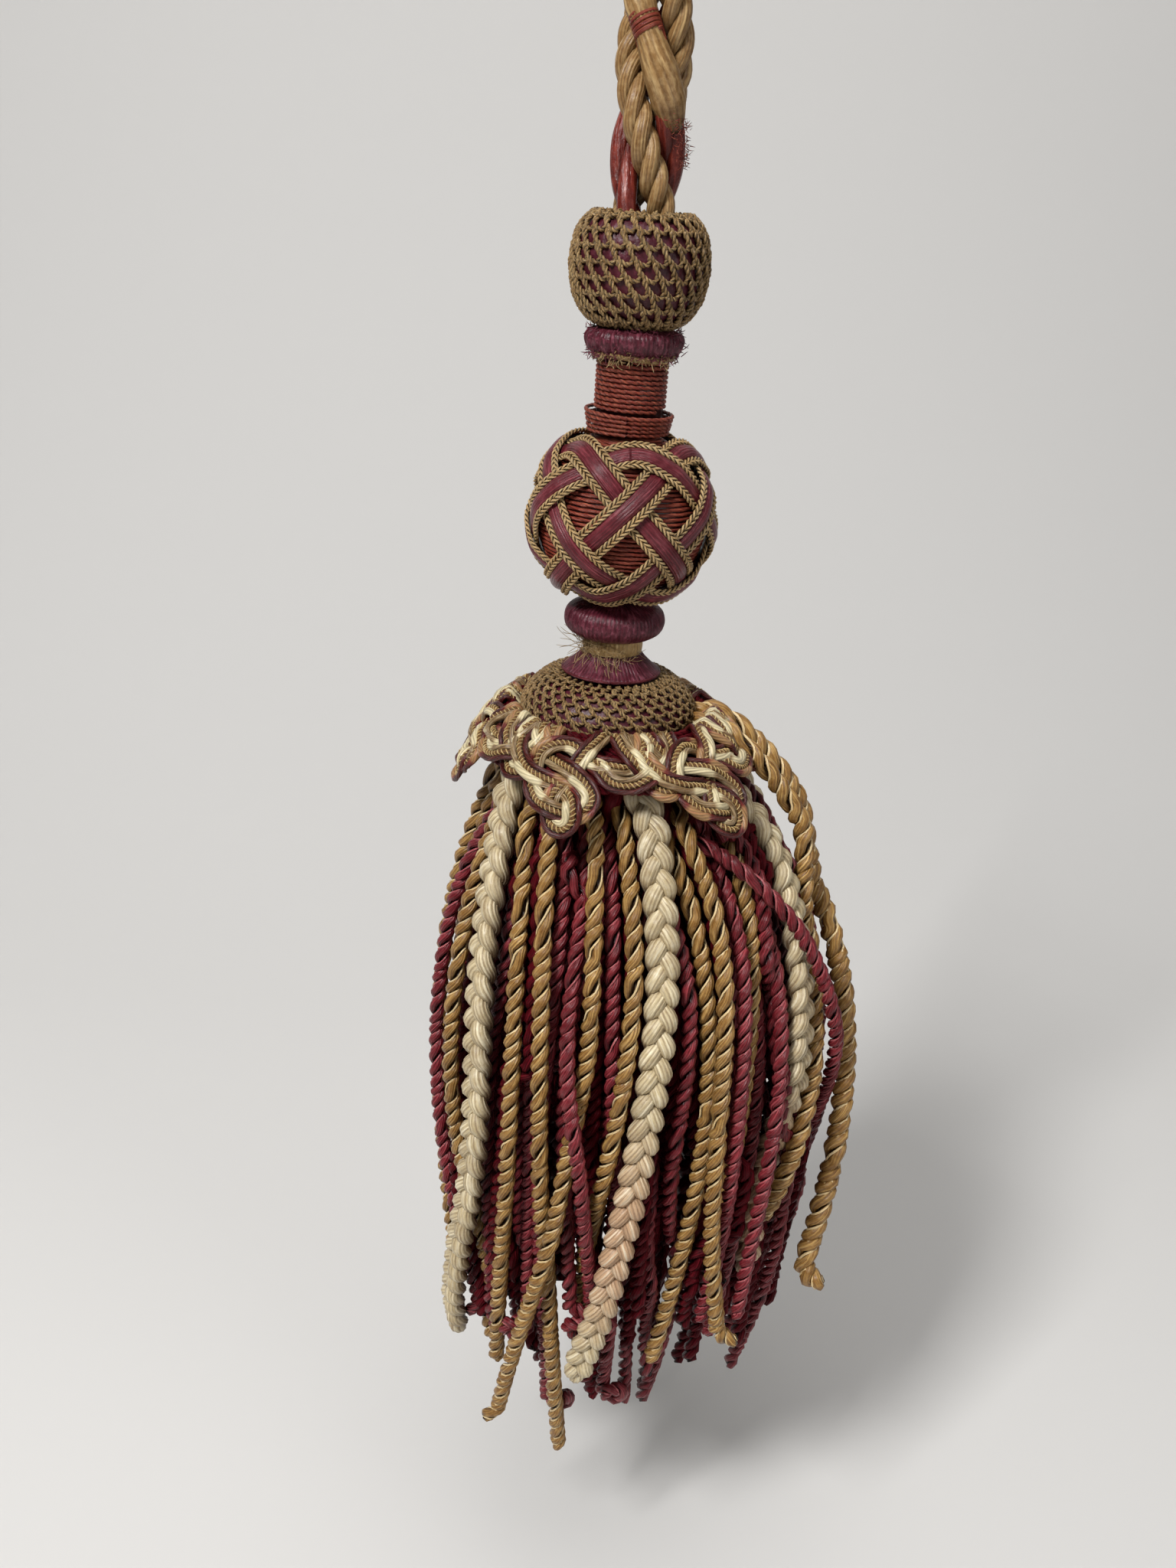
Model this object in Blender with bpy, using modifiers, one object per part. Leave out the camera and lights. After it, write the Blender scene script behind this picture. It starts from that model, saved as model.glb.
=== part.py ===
"""A curtain tassel on a short twisted rope: turned and covered head, looped trim, and a skirt of cords.

The origin is the top of the rope's hanging loop, and +Z is up. Lengths in the tables are millimetres.
Azimuths are degrees round the tassel: 0 is its front, on the -Y side, and 90 is its right, on the +X side.
"""

import math
import random

import bmesh
import bpy
import numpy as np
from mathutils import Matrix, Vector
from mathutils.kdtree import KDTree

MM = 0.001
GAP = 0.3

# Heights are depths below the top rim of the upper ball, which lies this far below the loop's top.
RIM = 88.6

# Rope: four strands round one axis, which are two cords folded over at the loop.
STRAND_CIRCLE = 5.75
GOLD_CORD = 3.55
BURGUNDY_CORD = 3.4
ROPE_PITCH = 84.0
ROPE_FRONT = -11.6
ROPE_FOOT = 3.0
LAY_TOP = -52.0
LOOP_WIDTH = 28.0
LOOP_HEIGHT = 30.0
PLY_PITCH = 20.0
ROPE_STEP = 2.5

# Head, each row a radius and a depth.
UPPER_NET = [(10.3, 0.7), (11.2, 0.0), (12.6, 0.5), (14.8, 2.9), (16.2, 7.2), (16.6, 12.4),
             (15.6, 18.4), (12.8, 23.2), (9.0, 25.2)]
LOWER_NET = [(12.9, 113.3), (17.2, 114.2), (21.2, 117.6), (23.3, 121.6), (22.9, 125.2)]
NET_THICK = 0.9
SOCKET_RADIUS = 9.8
SOCKET_FLOOR = 6.4
NECK_RADIUS = 9.05
NECK_TOP = 32.6
NECK_RINGS = 11
RING_PITCH = 1.1
RING_DEPTH = 0.55
FLANGE_RADIUS = 11.1
FLANGE_RINGS = 4
BALL_RADIUS = 21.8
BALL_DEPTH = 71.5
BALL_FLAT = 20.9
PLUG_RADIUS = 14.0
PLUG_FOOT = 153.0

# Strapwork: one ribbon, five times round the ball with six bights at each edge.
LEADS = 5
BIGHTS = 6
STRAP_SWING = 49.5
STRAP_MIDDLE = 0.5
STRAP_TURN = 4.0
STRAP_WIDTH = 8.2
STRAP_THICK = 1.2
STRAP_RISE = 1.55
STRAP_POINTS = 120
STRAP_CLEAR = 0.45
STRAP_OVER = {1: 1, 2: -1, 3: 1, 4: -1, 6: 1, 7: -1, 8: 1, 9: -1}

# Skirt: its outer surface as depth, radius, and how far its middle stands off the axis to the right.
SKIRT = [(126, 23.0, 0.0), (131, 30.0, 1.5), (137, 37.0, 3.2), (143, 42.0, 4.8), (150, 45.5, 6.6),
         (158, 49.0, 8.8), (168, 53.0, 11.0), (180, 56.5, 12.0), (194, 59.5, 12.8), (215, 62.6, 14.3),
         (243, 63.3, 15.0), (273, 61.6, 15.6), (304, 58.3, 15.4), (330, 54.0, 15.0), (360, 48.0, 14.0)]
CORD_RADIUS = 2.4
BRAID_RADIUS = 3.6
CORD_CLEAR = 6.0
BRAID_CLEAR = 8.1
PROUD = 4.5
SKIRT_STEP = 4.6
UPPER_LEVEL = 185.0
LOWER_LEVEL = 240.0
ROOT_RADIUS = 18.0
RING_RADIUS = 21.0
RING_HEIGHTS = {"cream": 7.0, "gold": 5.4, "burgundy": 5.4, "inner": 5.4}
RING_TOP = 128.6

# Front cords: kind, azimuth at the root, at the two levels and at the tip, depth of the tip, and how
# far the cord lies in from the outer surface at its root, middle and tip.
FRONT_COLUMNS = ("kind", "root", "upper", "lower", "tip", "reach", "in_root", "in_middle", "in_tip")
FRONT = [
    ("gold", -85, -88, -84, -66, 330, 0, 6, 10),
    ("burgundy", -70, -86, -79, -62, 320, 0, 0, 6),
    ("gold", -62, -64, -62, -52, 300, 0, 0, 9),
    ("cream", -56, -52, -43, -72, 328, 0, 0, 0),
    ("gold", -41, -35, -33, -45, 320, 0, 0, 3),
    ("burgundy", -33, -34, -30, -31, 312, 6, 7, 8),
    ("gold", -27, -26, -25, -20, 352, 0, 0, 7),
    ("burgundy", -18, -27, -30, -27, 340, 0, 6, 9),
    ("burgundy", -13, -20, -11, -9, 300, 6, 0, 11),
    ("gold", -7, -15, -15, -44, 345, 0, 0, -1),
    ("burgundy", -1, -9, -5, -6, 333, 0, 6, 14),
    ("gold", 5, 1, -10, -13, 312, 0, 0, 14),
    ("cream", 14, 8, -1, -13, 308, 0, 0, 0),
    ("gold", 26, 24, 20, 12, 306, 0, 6, 8),
    ("gold", 34, 26, 19, 30, 296, 0, 0, 0),
    ("burgundy", 46, 31, 24, 27, 288, 0, 0, 2),
    ("burgundy", 52, 43, 36, 33, 300, 6, 7, 10),
    ("gold", 58, 41, 32, 28, 268, 0, 7, 6),
    ("burgundy", 42, 60, 76, 81, 264, -4, -1, 8),
    ("burgundy", 62, 47, 38, 28, 284, 6, 0, 0),
    ("cream", 74, 57, 46, 46, 282, 0, 5, 8),
    ("gold", 84, 68, 50, 44, 255, 0, 5, 6),
    ("gold", 95, 86, 72, 60, 290, 0, -5, -3),
]

# Back cords, in equal steps round the side that the front table leaves.
BACK_FROM = 106.0
BACK_TO = 266.0
BACK_KINDS = ("burgundy", "gold", "cream", "gold", "burgundy", "gold", "burgundy", "gold",
              "burgundy", "cream", "burgundy", "gold", "burgundy", "gold", "burgundy", "gold",
              "cream", "burgundy", "gold", "burgundy", "gold")
BACK_REACH = (285.0, 335.0)
INNER_COUNT = 24
INNER_REACH = (300.0, 338.0)
INNER_IN = (13.0, 20.0)
SEED = 11

# Trim: a flat braid on the shoulder, six times one repeat of a knot, its loop and a scallop.
REPEATS = 6
TRIM_TURN = -19.0
TRIM_WIDTH = 5.0
TRIM_THICK = 1.8
TRIM_RISE = 0.7
TRIM_LIFT = 0.9
TRIM_STEP = 6.2
TRIM_BED = [(123, 25.5, 0.5), (126, 30.0, 1.0), (131, 36.0, 2.0), (137, 41.0, 3.2), (143, 45.0, 4.8),
            (150, 48.5, 6.6), (158, 51.5, 8.8)]
HEADING_EDGE = 14.4
HEADING_HEIGHTS = (0.9, 2.5)
HEADING_HOLE = [(24.2, 125.55), (24.2, 127.2)]
HEADING_MIDDLE = 1.2
# Each point of a length of band: azimuth from the knot's middle, distance down the shoulder, and 1
# where it goes over or -1 where it goes under.
TRIM = {
    "lobe": [(-10.4, 8.4, -0.4), (-4.4, 6.0, 0.6), (1, 5.6, 1), (7, 8.0, 0), (10.8, 13.0, 0), (11.2, 18.4, 0),
             (7, 22.0, -1), (0.6, 23.0, -0.2), (-6.4, 21.8, 0.8), (-11.4, 18.2, 0), (-12.6, 13.2, -1),
             (-10.4, 8.4, -0.4)],
    "loop": [(-22, 5, 0.4), (-19.5, 10.8, 0), (-12.5, 14.5, 1), (-4, 15.4, 0), (3.2, 17.8, 0),
             (5.2, 21.6, 1), (4.4, 25.0, 0.3), (0.6, 27.0, 0), (-3.0, 25.0, -0.6), (-2.8, 20.4, -1),
             (1.6, 14.0, 0), (5.4, 9.0, 0), (9.4, 5.2, 0.4)],
    "scallop": [(12.6, 8.6, 0.4), (17, 12.4, 0.6), (25, 15.0, 0.3), (34, 15.2, 0.5), (41.6, 12.6, 0),
                (45.6, 8.4, 0.3)],
}


def rad(degrees):
    return math.radians(degrees)


def around(radius, azimuth, depth, middle=0.0):
    """The point, in metres, at a radius, azimuth and depth below the rim, round a middle off the axis."""
    return Vector((
        (middle + radius * math.sin(rad(azimuth))) * MM,
        -radius * math.cos(rad(azimuth)) * MM,
        -(RIM + depth) * MM,
    ))


def clear_scene():
    for old in list(bpy.data.objects):
        bpy.data.objects.remove(old, do_unlink=True)
    for name in ("tassel", "guides"):
        bpy.context.scene.collection.children.link(bpy.data.collections.new(name))


def fabric(name, colour, roughness=0.7):
    material = bpy.data.materials.new(name)
    material.use_nodes = True
    shader = material.node_tree.nodes["Principled BSDF"]
    shader.inputs["Base Color"].default_value = (*colour, 1.0)
    shader.inputs["Roughness"].default_value = roughness
    shader.inputs["Metallic"].default_value = 0.0
    return material


def add_object(name, data, material, collection="tassel"):
    made = bpy.data.objects.new(name, data)
    bpy.data.collections[collection].objects.link(made)
    if material:
        data.materials.append(material)
    if collection == "guides":
        made.hide_render = True
        made.display_type = "WIRE"
    return made


def plain_mesh(made, merge=True):
    """The object's evaluated shape as a mesh object of the same name, facing outwards."""
    graph = bpy.context.evaluated_depsgraph_get()
    mesh = bpy.data.meshes.new_from_object(made.evaluated_get(graph))
    cage = bmesh.new()
    cage.from_mesh(mesh)
    if merge:
        bmesh.ops.remove_doubles(cage, verts=cage.verts, dist=0.001 * MM)
    bmesh.ops.recalc_face_normals(cage, faces=cage.faces)
    cage.to_mesh(mesh)
    cage.free()
    name, collection = made.name, made.users_collection[0].name
    bpy.data.objects.remove(made, do_unlink=True)
    mesh.name = name
    return add_object(name, mesh, None, collection)


def turned(name, profile, material, steps=24, closed=False, wall=0.0):
    """Turns a profile of (radius, depth) rows about the tassel's axis, top to bottom."""
    mesh = bpy.data.meshes.new(name)
    points = [(radius * MM, 0.0, -(RIM + depth) * MM) for radius, depth in profile]
    edges = [(i, i + 1) for i in range(len(points) - 1)]
    if closed:
        edges.append((len(points) - 1, 0))
    mesh.from_pydata(points, edges, [])
    made = add_object(name, mesh, material)
    screw = made.modifiers.new("turn", "SCREW")
    screw.steps = steps
    screw.render_steps = steps
    screw.use_merge_vertices = True
    screw.merge_threshold = 0.00001
    if wall:
        shell = made.modifiers.new("wall", "SOLIDIFY")
        shell.thickness = wall * MM
        shell.offset = -1.0
    return made


def inset(profile, distance):
    """The profile moved in towards the axis, square to itself."""
    moved = []
    for i, (radius, depth) in enumerate(profile):
        before = profile[max(i - 1, 0)]
        after = profile[min(i + 1, len(profile) - 1)]
        run, fall = after[0] - before[0], after[1] - before[1]
        size = math.hypot(run, fall)
        moved.append((radius - distance * fall / size, depth + distance * run / size))
    return moved


def smoothed(points, passes, fixed=1):
    """The points after each has been drawn to its neighbours, with the ends left in place."""
    for _ in range(passes):
        middle = (points[:-2] + 2.0 * points[1:-1] + points[2:]) / 4.0
        inner = slice(fixed, len(points) - 1)
        points[inner] = middle[fixed - 1:]
    return points


def resampled(points, step):
    """The same line with points at equal steps, close to the step asked for."""
    gone = np.concatenate([[0.0], np.cumsum(np.linalg.norm(np.diff(points, axis=0), axis=1))])
    count = max(2, int(round(gone[-1] / step)) + 1)
    at = np.linspace(0.0, gone[-1], count)
    return np.stack([np.interp(at, gone, points[:, axis]) for axis in range(3)], axis=1)


def strand_azimuth(depth):
    return (depth - ROPE_FRONT) * 360.0 / ROPE_PITCH


def rope_route(first, side):
    """One cord of the rope: up one side of the lay, round the loop and down the other side.

    first is how far round the cord starts from the front gold strand, and side is 1 where it lies
    outside its partner on the loop, or -1 where it lies inside.
    """
    depths = np.arange(ROPE_FOOT, LAY_TOP, -3.0)
    up = [around(STRAND_CIRCLE, strand_azimuth(d) + first, d) for d in depths]
    down = [around(STRAND_CIRCLE, strand_azimuth(d) + first + 180.0, d) for d in depths[::-1]]
    leg = strand_azimuth(LAY_TOP) - 45.0
    outward = around(1.0, leg, -RIM) / MM
    across = around(1.0, leg + 90.0, -RIM) / MM
    foot = STRAND_CIRCLE * math.cos(rad(45.0))
    loop = []
    for turn in np.linspace(0.12, 0.88, 15) * math.pi:
        spread = math.cos(turn) * (foot + (LOOP_WIDTH - foot) * math.sin(turn))
        rise = LOOP_HEIGHT * math.sin(turn)
        normal = outward * math.cos(turn) + Vector((0.0, 0.0, math.sin(turn)))
        aside = side * (across * math.cos(turn) + normal.normalized() * math.sin(turn)) * foot
        loop.append((outward * spread + aside + Vector((0.0, 0.0, rise - RIM - LAY_TOP))) * MM)
    points = resampled(np.array(up + loop + down), 4.0 * MM)
    return resampled(smoothed(points, 4), ROPE_STEP * MM)


def swept(name, routes, material, radius, sides=4, collection="tassel", section=None, twist=0.0,
          swell=None):
    """Tubes along the routes, as one curve with filled caps."""
    curve = bpy.data.curves.new(name, "CURVE")
    curve.dimensions = "3D"
    curve.use_fill_caps = True
    curve.twist_mode = "MINIMUM"
    if section is None:
        curve.bevel_depth = radius * MM
        curve.bevel_resolution = (sides - 4) // 2
    else:
        curve.bevel_mode = "OBJECT"
        curve.bevel_object = section
    for route in routes:
        spline = curve.splines.new("POLY")
        spline.points.add(len(route) - 1)
        gone = 0.0
        for i, point in enumerate(route):
            if i:
                gone += float(np.linalg.norm(np.subtract(point, route[i - 1])))
            spline.points[i].co = (*point, 1.0)
            spline.points[i].tilt = twist * gone
            spline.points[i].radius = swell(i, len(route)) if swell else 1.0
    return add_object(name, curve, material, collection)


def outline(name, corners):
    """A closed flat outline, in metres, that a swept curve takes as its section."""
    curve = bpy.data.curves.new(name, "CURVE")
    curve.dimensions = "2D"
    spline = curve.splines.new("POLY")
    spline.points.add(len(corners) - 1)
    for point, (x, y) in zip(spline.points, corners):
        point.co = (x * MM, y * MM, 0.0, 1.0)
    spline.use_cyclic_u = True
    return add_object(name, curve, None, "guides")


def make_rope(gold, burgundy):
    tips = [(GOLD_CORD * k * math.cos(rad(60 * i)), GOLD_CORD * k * math.sin(rad(60 * i)))
            for i, k in enumerate((1.0, 0.8) * 3)]
    section = outline("gold_cord_section", tips)
    twist = 2.0 * math.pi / (PLY_PITCH * MM)
    plain_mesh(swept("rope_gold", [rope_route(0.0, 1)], gold, 0, section=section, twist=twist))
    route = rope_route(-90.0, -1)[::2]
    plain_mesh(swept("rope_burgundy", [route], burgundy, BURGUNDY_CORD, sides=8))


def ribs(radius, top, count):
    """Rows of a profile with one rounded ridge for each turn of a wound cord."""
    rows = []
    for i in range(count):
        rows += [(radius - RING_DEPTH, top + i * RING_PITCH), (radius, top + (i + 0.5) * RING_PITCH)]
    return rows


def make_head(plum, net, red, gold):
    mould = [(0.0, SOCKET_FLOOR), (SOCKET_RADIUS, SOCKET_FLOOR), (SOCKET_RADIUS, 2.0)]
    mould += inset(UPPER_NET, NET_THICK + GAP)[1:] + [(0.0, 24.0)]
    turned("upper_mould", mould, plum, 20)
    turned("upper_net", UPPER_NET, net, 20, wall=NET_THICK)
    tuft = [(0.0, 25.6), (8.5, 25.6), (11.2, 26.5), (12.1, 28.4), (11.1, 31.0), (9.2, 32.3), (0.0, 32.3)]
    collar = plain_mesh(turned("fluff_collar", tuft, plum, 18))
    for point in collar.data.vertices:
        azimuth = math.atan2(point.co.x, -point.co.y)
        lump = 1.0 + 0.05 * math.sin(3.0 * azimuth + 1.0) + 0.04 * math.sin(7.0 * azimuth)
        point.co.x *= lump
        point.co.y *= lump
    flange_top = NECK_TOP + NECK_RINGS * RING_PITCH
    flange_foot = flange_top + FLANGE_RINGS * RING_PITCH + 0.9
    neck = [(0.0, NECK_TOP)] + ribs(NECK_RADIUS, NECK_TOP, NECK_RINGS)
    neck += ribs(FLANGE_RADIUS, flange_top + 0.5, FLANGE_RINGS)
    neck += [(FLANGE_RADIUS - 1.0, flange_foot), (0.0, flange_foot)]
    turned("neck_winding", neck, red, 16)
    flat = rad(math.degrees(math.asin(BALL_FLAT / BALL_RADIUS)))
    ball = [(BALL_RADIUS * math.cos(a), BALL_DEPTH - BALL_RADIUS * math.sin(a))
            for a in np.linspace(flat, -flat, 13)]
    ball = [(0.0, ball[0][1])] + ball + [(0.0, ball[-1][1])]
    turned("ball", ball, red, 24)
    ring = [(0.0, 92.7), (5.0, 92.7), (10.4, 94.4), (12.6, 96.0), (13.25, 98.6), (12.4, 101.0),
            (10.0, 102.6), (0.0, 102.9)]
    turned("floss_ring", ring, plum, 20)
    turned("gold_band", [(0.0, 103.2), (7.7, 103.2), (7.85, 105.2), (7.7, 107.0), (0.0, 107.0)], gold, 20)
    disc = [(0.0, 107.3), (7.9, 107.3), (9.2, 108.8), (11.4, 110.8), (12.85, 111.9), (12.85, 112.6),
            (11.8, 112.9), (0.0, 112.9)]
    turned("flared_disc", disc, plum, 24)
    mould = [(0.0, 113.2)] + inset(LOWER_NET, NET_THICK + GAP)
    mould += [(20.0, 128.0), (PLUG_RADIUS, 128.3), (PLUG_RADIUS, PLUG_FOOT), (0.0, PLUG_FOOT)]
    turned("lower_mould", mould, plum, 24)
    turned("lower_net", LOWER_NET, net, 24, wall=NET_THICK)


def strap_height(turn):
    """1 where the ribbon goes over, -1 where it goes under, from its phase along the plait."""
    phase = (turn * BIGHTS / LEADS / 36.0) % 10.0
    knots = sorted(STRAP_OVER)
    values = [STRAP_OVER[k] for k in knots]
    at = np.interp(phase, [knots[-1] - 10] + knots + [knots[0] + 10], [values[-1]] + values + [values[0]])
    return max(-1.0, min(1.0, 1.9 * float(at)))


def strap_frames():
    """Centre, sideways direction and outward direction of the ribbon at each step of its plait."""
    frames = []
    for i in range(STRAP_POINTS):
        turn = 360.0 * LEADS * i / STRAP_POINTS
        swing = rad(BIGHTS / LEADS * turn)
        latitude = rad(STRAP_MIDDLE + STRAP_SWING * math.cos(swing))
        slope = -rad(STRAP_SWING) * BIGHTS / LEADS * math.sin(swing)
        azimuth = rad(STRAP_TURN + turn)
        out = Vector((math.cos(latitude) * math.sin(azimuth), -math.cos(latitude) * math.cos(azimuth),
                      math.sin(latitude)))
        east = Vector((math.cos(azimuth), math.sin(azimuth), 0.0))
        north = out.cross(east)
        along = (east * math.cos(latitude) + north * slope).normalized()
        radius = BALL_RADIUS + STRAP_CLEAR + STRAP_THICK / 2.0 + STRAP_RISE * (1.0 + strap_height(turn)) / 2.0
        frames.append((out * radius, out.cross(along), out))
    return frames


def make_strapwork(material):
    """The ribbon is lofted, because its section keeps square to the ball all the way."""
    cage = bmesh.new()
    rings = []
    for centre, side, out in strap_frames():
        ring = []
        for across, up in ((-1, -1), (1, -1), (1, 1), (-1, 1)):
            radial = Vector(centre) + out * (up * STRAP_THICK / 2.0)
            point = radial + side * (across * STRAP_WIDTH / 2.0)
            point = point.normalized() * radial.length
            ring.append(cage.verts.new((point + Vector((0.0, 0.0, -RIM - BALL_DEPTH))) * MM))
        rings.append(ring)
    for i, ring in enumerate(rings):
        after = rings[(i + 1) % len(rings)]
        for k in range(len(ring)):
            cage.faces.new((ring[k], ring[k - 1], after[k - 1], after[k]))
    bmesh.ops.recalc_face_normals(cage, faces=cage.faces)
    mesh = bpy.data.meshes.new("strapwork")
    cage.to_mesh(mesh)
    cage.free()
    add_object("strapwork", mesh, material)


def skirt_surface(depth):
    """Radius of the skirt's outer surface and the place of its middle, at a depth."""
    rows = np.array(SKIRT, float)
    return np.interp(depth, rows[:, 0], rows[:, 1]), np.interp(depth, rows[:, 0], rows[:, 2])


def cord_rows():
    """Every cord of the skirt as a dictionary: the front table, then the back and the inside."""
    rows = [dict(zip(FRONT_COLUMNS, row)) for row in FRONT]
    chance = random.Random(SEED)
    step = (BACK_TO - BACK_FROM) / (len(BACK_KINDS) - 1)
    for i, kind in enumerate(BACK_KINDS):
        azimuth = BACK_FROM + step * i
        lie = 0.0 if kind == "cream" else (0.0, 5.5)[i % 2]
        rows.append(dict(
            kind=kind, root=azimuth, upper=azimuth + chance.uniform(-3, 3),
            lower=azimuth + chance.uniform(-6, 6), tip=azimuth + chance.uniform(-9, 9),
            reach=chance.uniform(*BACK_REACH), in_root=lie, in_middle=lie,
            in_tip=lie + chance.uniform(0, 5),
        ))
    for i in range(INNER_COUNT):
        azimuth = 360.0 / INNER_COUNT * i
        rows.append(dict(
            kind="inner", root=azimuth, upper=azimuth + chance.uniform(-6, 6),
            lower=azimuth + chance.uniform(-9, 9), tip=azimuth + chance.uniform(-12, 12),
            reach=chance.uniform(*INNER_REACH), in_root=12.0, in_middle=INNER_IN[i % 2],
            in_tip=INNER_IN[i % 2] + chance.uniform(-2, 4),
        ))
    return rows


def ring_middle(kind):
    top = RING_TOP
    for name, height in RING_HEIGHTS.items():
        if name == kind:
            return top, top + height / 2.0, top + height
        top += height + GAP
    return None


def first_route(row):
    """A cord's line before the cords are parted: out of its ring, over the shoulder and down."""
    clear = (BRAID_CLEAR if row["kind"] == "cream" else CORD_CLEAR) / 2.0
    root = ring_middle(row["kind"])[1]
    levels = (root, UPPER_LEVEL, LOWER_LEVEL, row["reach"])
    line = [around(ROOT_RADIUS, row["root"], root), around(RING_RADIUS + 0.8, row["root"], root)]
    for depth in np.linspace(root + 3.0, row["reach"], 60):
        radius, middle = skirt_surface(depth)
        azimuth = np.interp(depth, levels, (row["root"], row["upper"], row["lower"], row["tip"]))
        lie = np.interp(depth, (root, UPPER_LEVEL, LOWER_LEVEL, row["reach"]),
                        (row["in_root"], row["in_middle"], row["in_middle"], row["in_tip"]))
        line.append(around(radius - clear - lie, azimuth, depth, middle))
    return resampled(np.array(line), SKIRT_STEP * MM)


def parted(routes, widths, passes=90):
    """Draws the cords smooth and pushes them apart until each has its own room."""
    owner = np.concatenate([[i] * len(route) for i, route in enumerate(routes)])
    width = np.array(widths)[owner]
    starts = np.cumsum([0] + [len(route) for route in routes])
    points = np.concatenate(routes)
    held = np.zeros(len(points), bool)
    for start in starts[:-1]:
        held[start:start + 3] = True
    for turn in range(passes):
        if turn < passes - 30 or turn % 5 == 0:
            for start, end in zip(starts[:-1], starts[1:]):
                points[start:end] = smoothed(points[start:end], 1, fixed=3)
        tree = KDTree(len(points))
        for i, point in enumerate(points):
            tree.insert(point, i)
        tree.balance()
        push = np.zeros_like(points)
        for i, point in enumerate(points):
            for other, k, distance in tree.find_range(point, (width[i] + BRAID_CLEAR) / 2.0 * MM):
                wanted = (width[i] + width[k]) / 2.0 * MM
                if owner[k] != owner[i] and 1e-7 < distance < wanted:
                    push[i] += (point - np.array(other)) / distance * (wanted - distance) * 0.5
        push[held] = 0.0
        points += push
        depth = -points[:, 2] / MM - RIM
        radius, middle = skirt_surface(depth)
        away = np.hypot(points[:, 0] - middle * MM, points[:, 1])
        most = (radius - width / 2.0 + PROUD) * MM
        over = np.maximum(away / most, 1.0)
        over[held] = 1.0
        points[:, 0] = middle * MM + (points[:, 0] - middle * MM) / over
        points[:, 1] /= over
    return [points[start:end] for start, end in zip(starts[:-1], starts[1:])]


def joined(name, base, tubes):
    """Fuses tubes into their base with a Boolean union, and keeps the result as a plain mesh."""
    union = base.modifiers.new("fuse", "BOOLEAN")
    union.operation = "UNION"
    union.solver = "EXACT"
    union.use_self = True
    union.object = tubes
    made = plain_mesh(base, merge=False)
    made.name = name
    return made


def make_skirt(materials):
    rows = cord_rows()
    widths = [BRAID_CLEAR if row["kind"] == "cream" else CORD_CLEAR for row in rows]
    routes = parted([first_route(row) for row in rows], widths)
    names = {"cream": "cream_braids", "gold": "gold_cords", "burgundy": "burgundy_cords",
             "inner": "inner_cords"}
    for kind, name in names.items():
        top, _, foot = ring_middle(kind)
        hole = PLUG_RADIUS + GAP
        profile = [(hole, top), (RING_RADIUS, top), (RING_RADIUS, foot), (hole, foot)]
        ring = plain_mesh(turned(name, profile, materials[kind], 24, closed=True))
        radius = BRAID_RADIUS if kind == "cream" else CORD_RADIUS
        apart = 8 if kind == "inner" else 5
        chosen = [thinned(route, apart) for route, row in zip(routes, rows) if row["kind"] == kind]
        tubes = plain_mesh(swept(name + "_tubes", chosen, None, radius, collection="guides",
                                 swell=root_swell if kind == "cream" else None))
        joined(name, ring, tubes)


def root_swell(i, count):
    return 0.8 if i < 2 else 1.0


def thinned(route, apart):
    """Fewer points for the solid: close together over the shoulder, and far apart where it hangs."""
    keep = [0, 2, 4, 7]
    keep += list(range(7 + apart, len(route) - 3, apart)) + [len(route) - 1]
    return route[keep]


def bed_point(azimuth, down, height):
    """The point at a distance down the shoulder, and at a height square to the bed of the trim."""
    rows = np.array(TRIM_BED)
    gone = np.concatenate([[0.0], np.cumsum(np.hypot(np.diff(rows[:, 0]), np.diff(rows[:, 1])))])
    depth = np.interp(down, gone, rows[:, 0])
    ahead, behind = (np.interp(down + step, gone, rows[:, 0]) for step in (2.0, -2.0))
    run = np.interp(ahead, rows[:, 0], rows[:, 1]) - np.interp(behind, rows[:, 0], rows[:, 1])
    slope = math.atan2(ahead - behind, run)
    radius = np.interp(depth, rows[:, 0], rows[:, 1])
    middle = np.interp(depth, rows[:, 0], rows[:, 2])
    return around(radius + height * math.sin(slope), azimuth, depth - height * math.cos(slope), middle)


def rounded(rows, per_span=8):
    """A smooth line through the rows of a table."""
    rows = np.array(rows, float)
    ends = np.concatenate([2.0 * rows[:1] - rows[1:2], rows, 2.0 * rows[-1:] - rows[-2:-1]])
    line = []
    for a, b, c, d in zip(ends[:-3], ends[1:-2], ends[2:-1], ends[3:]):
        for t in np.arange(per_span) / per_span:
            line.append(0.5 * (2 * b + (c - a) * t + (2 * a - 5 * b + 4 * c - d) * t * t
                               + (3 * b - a - 3 * c + d) * t ** 3))
    return np.array(line + [rows[-1]])


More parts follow.
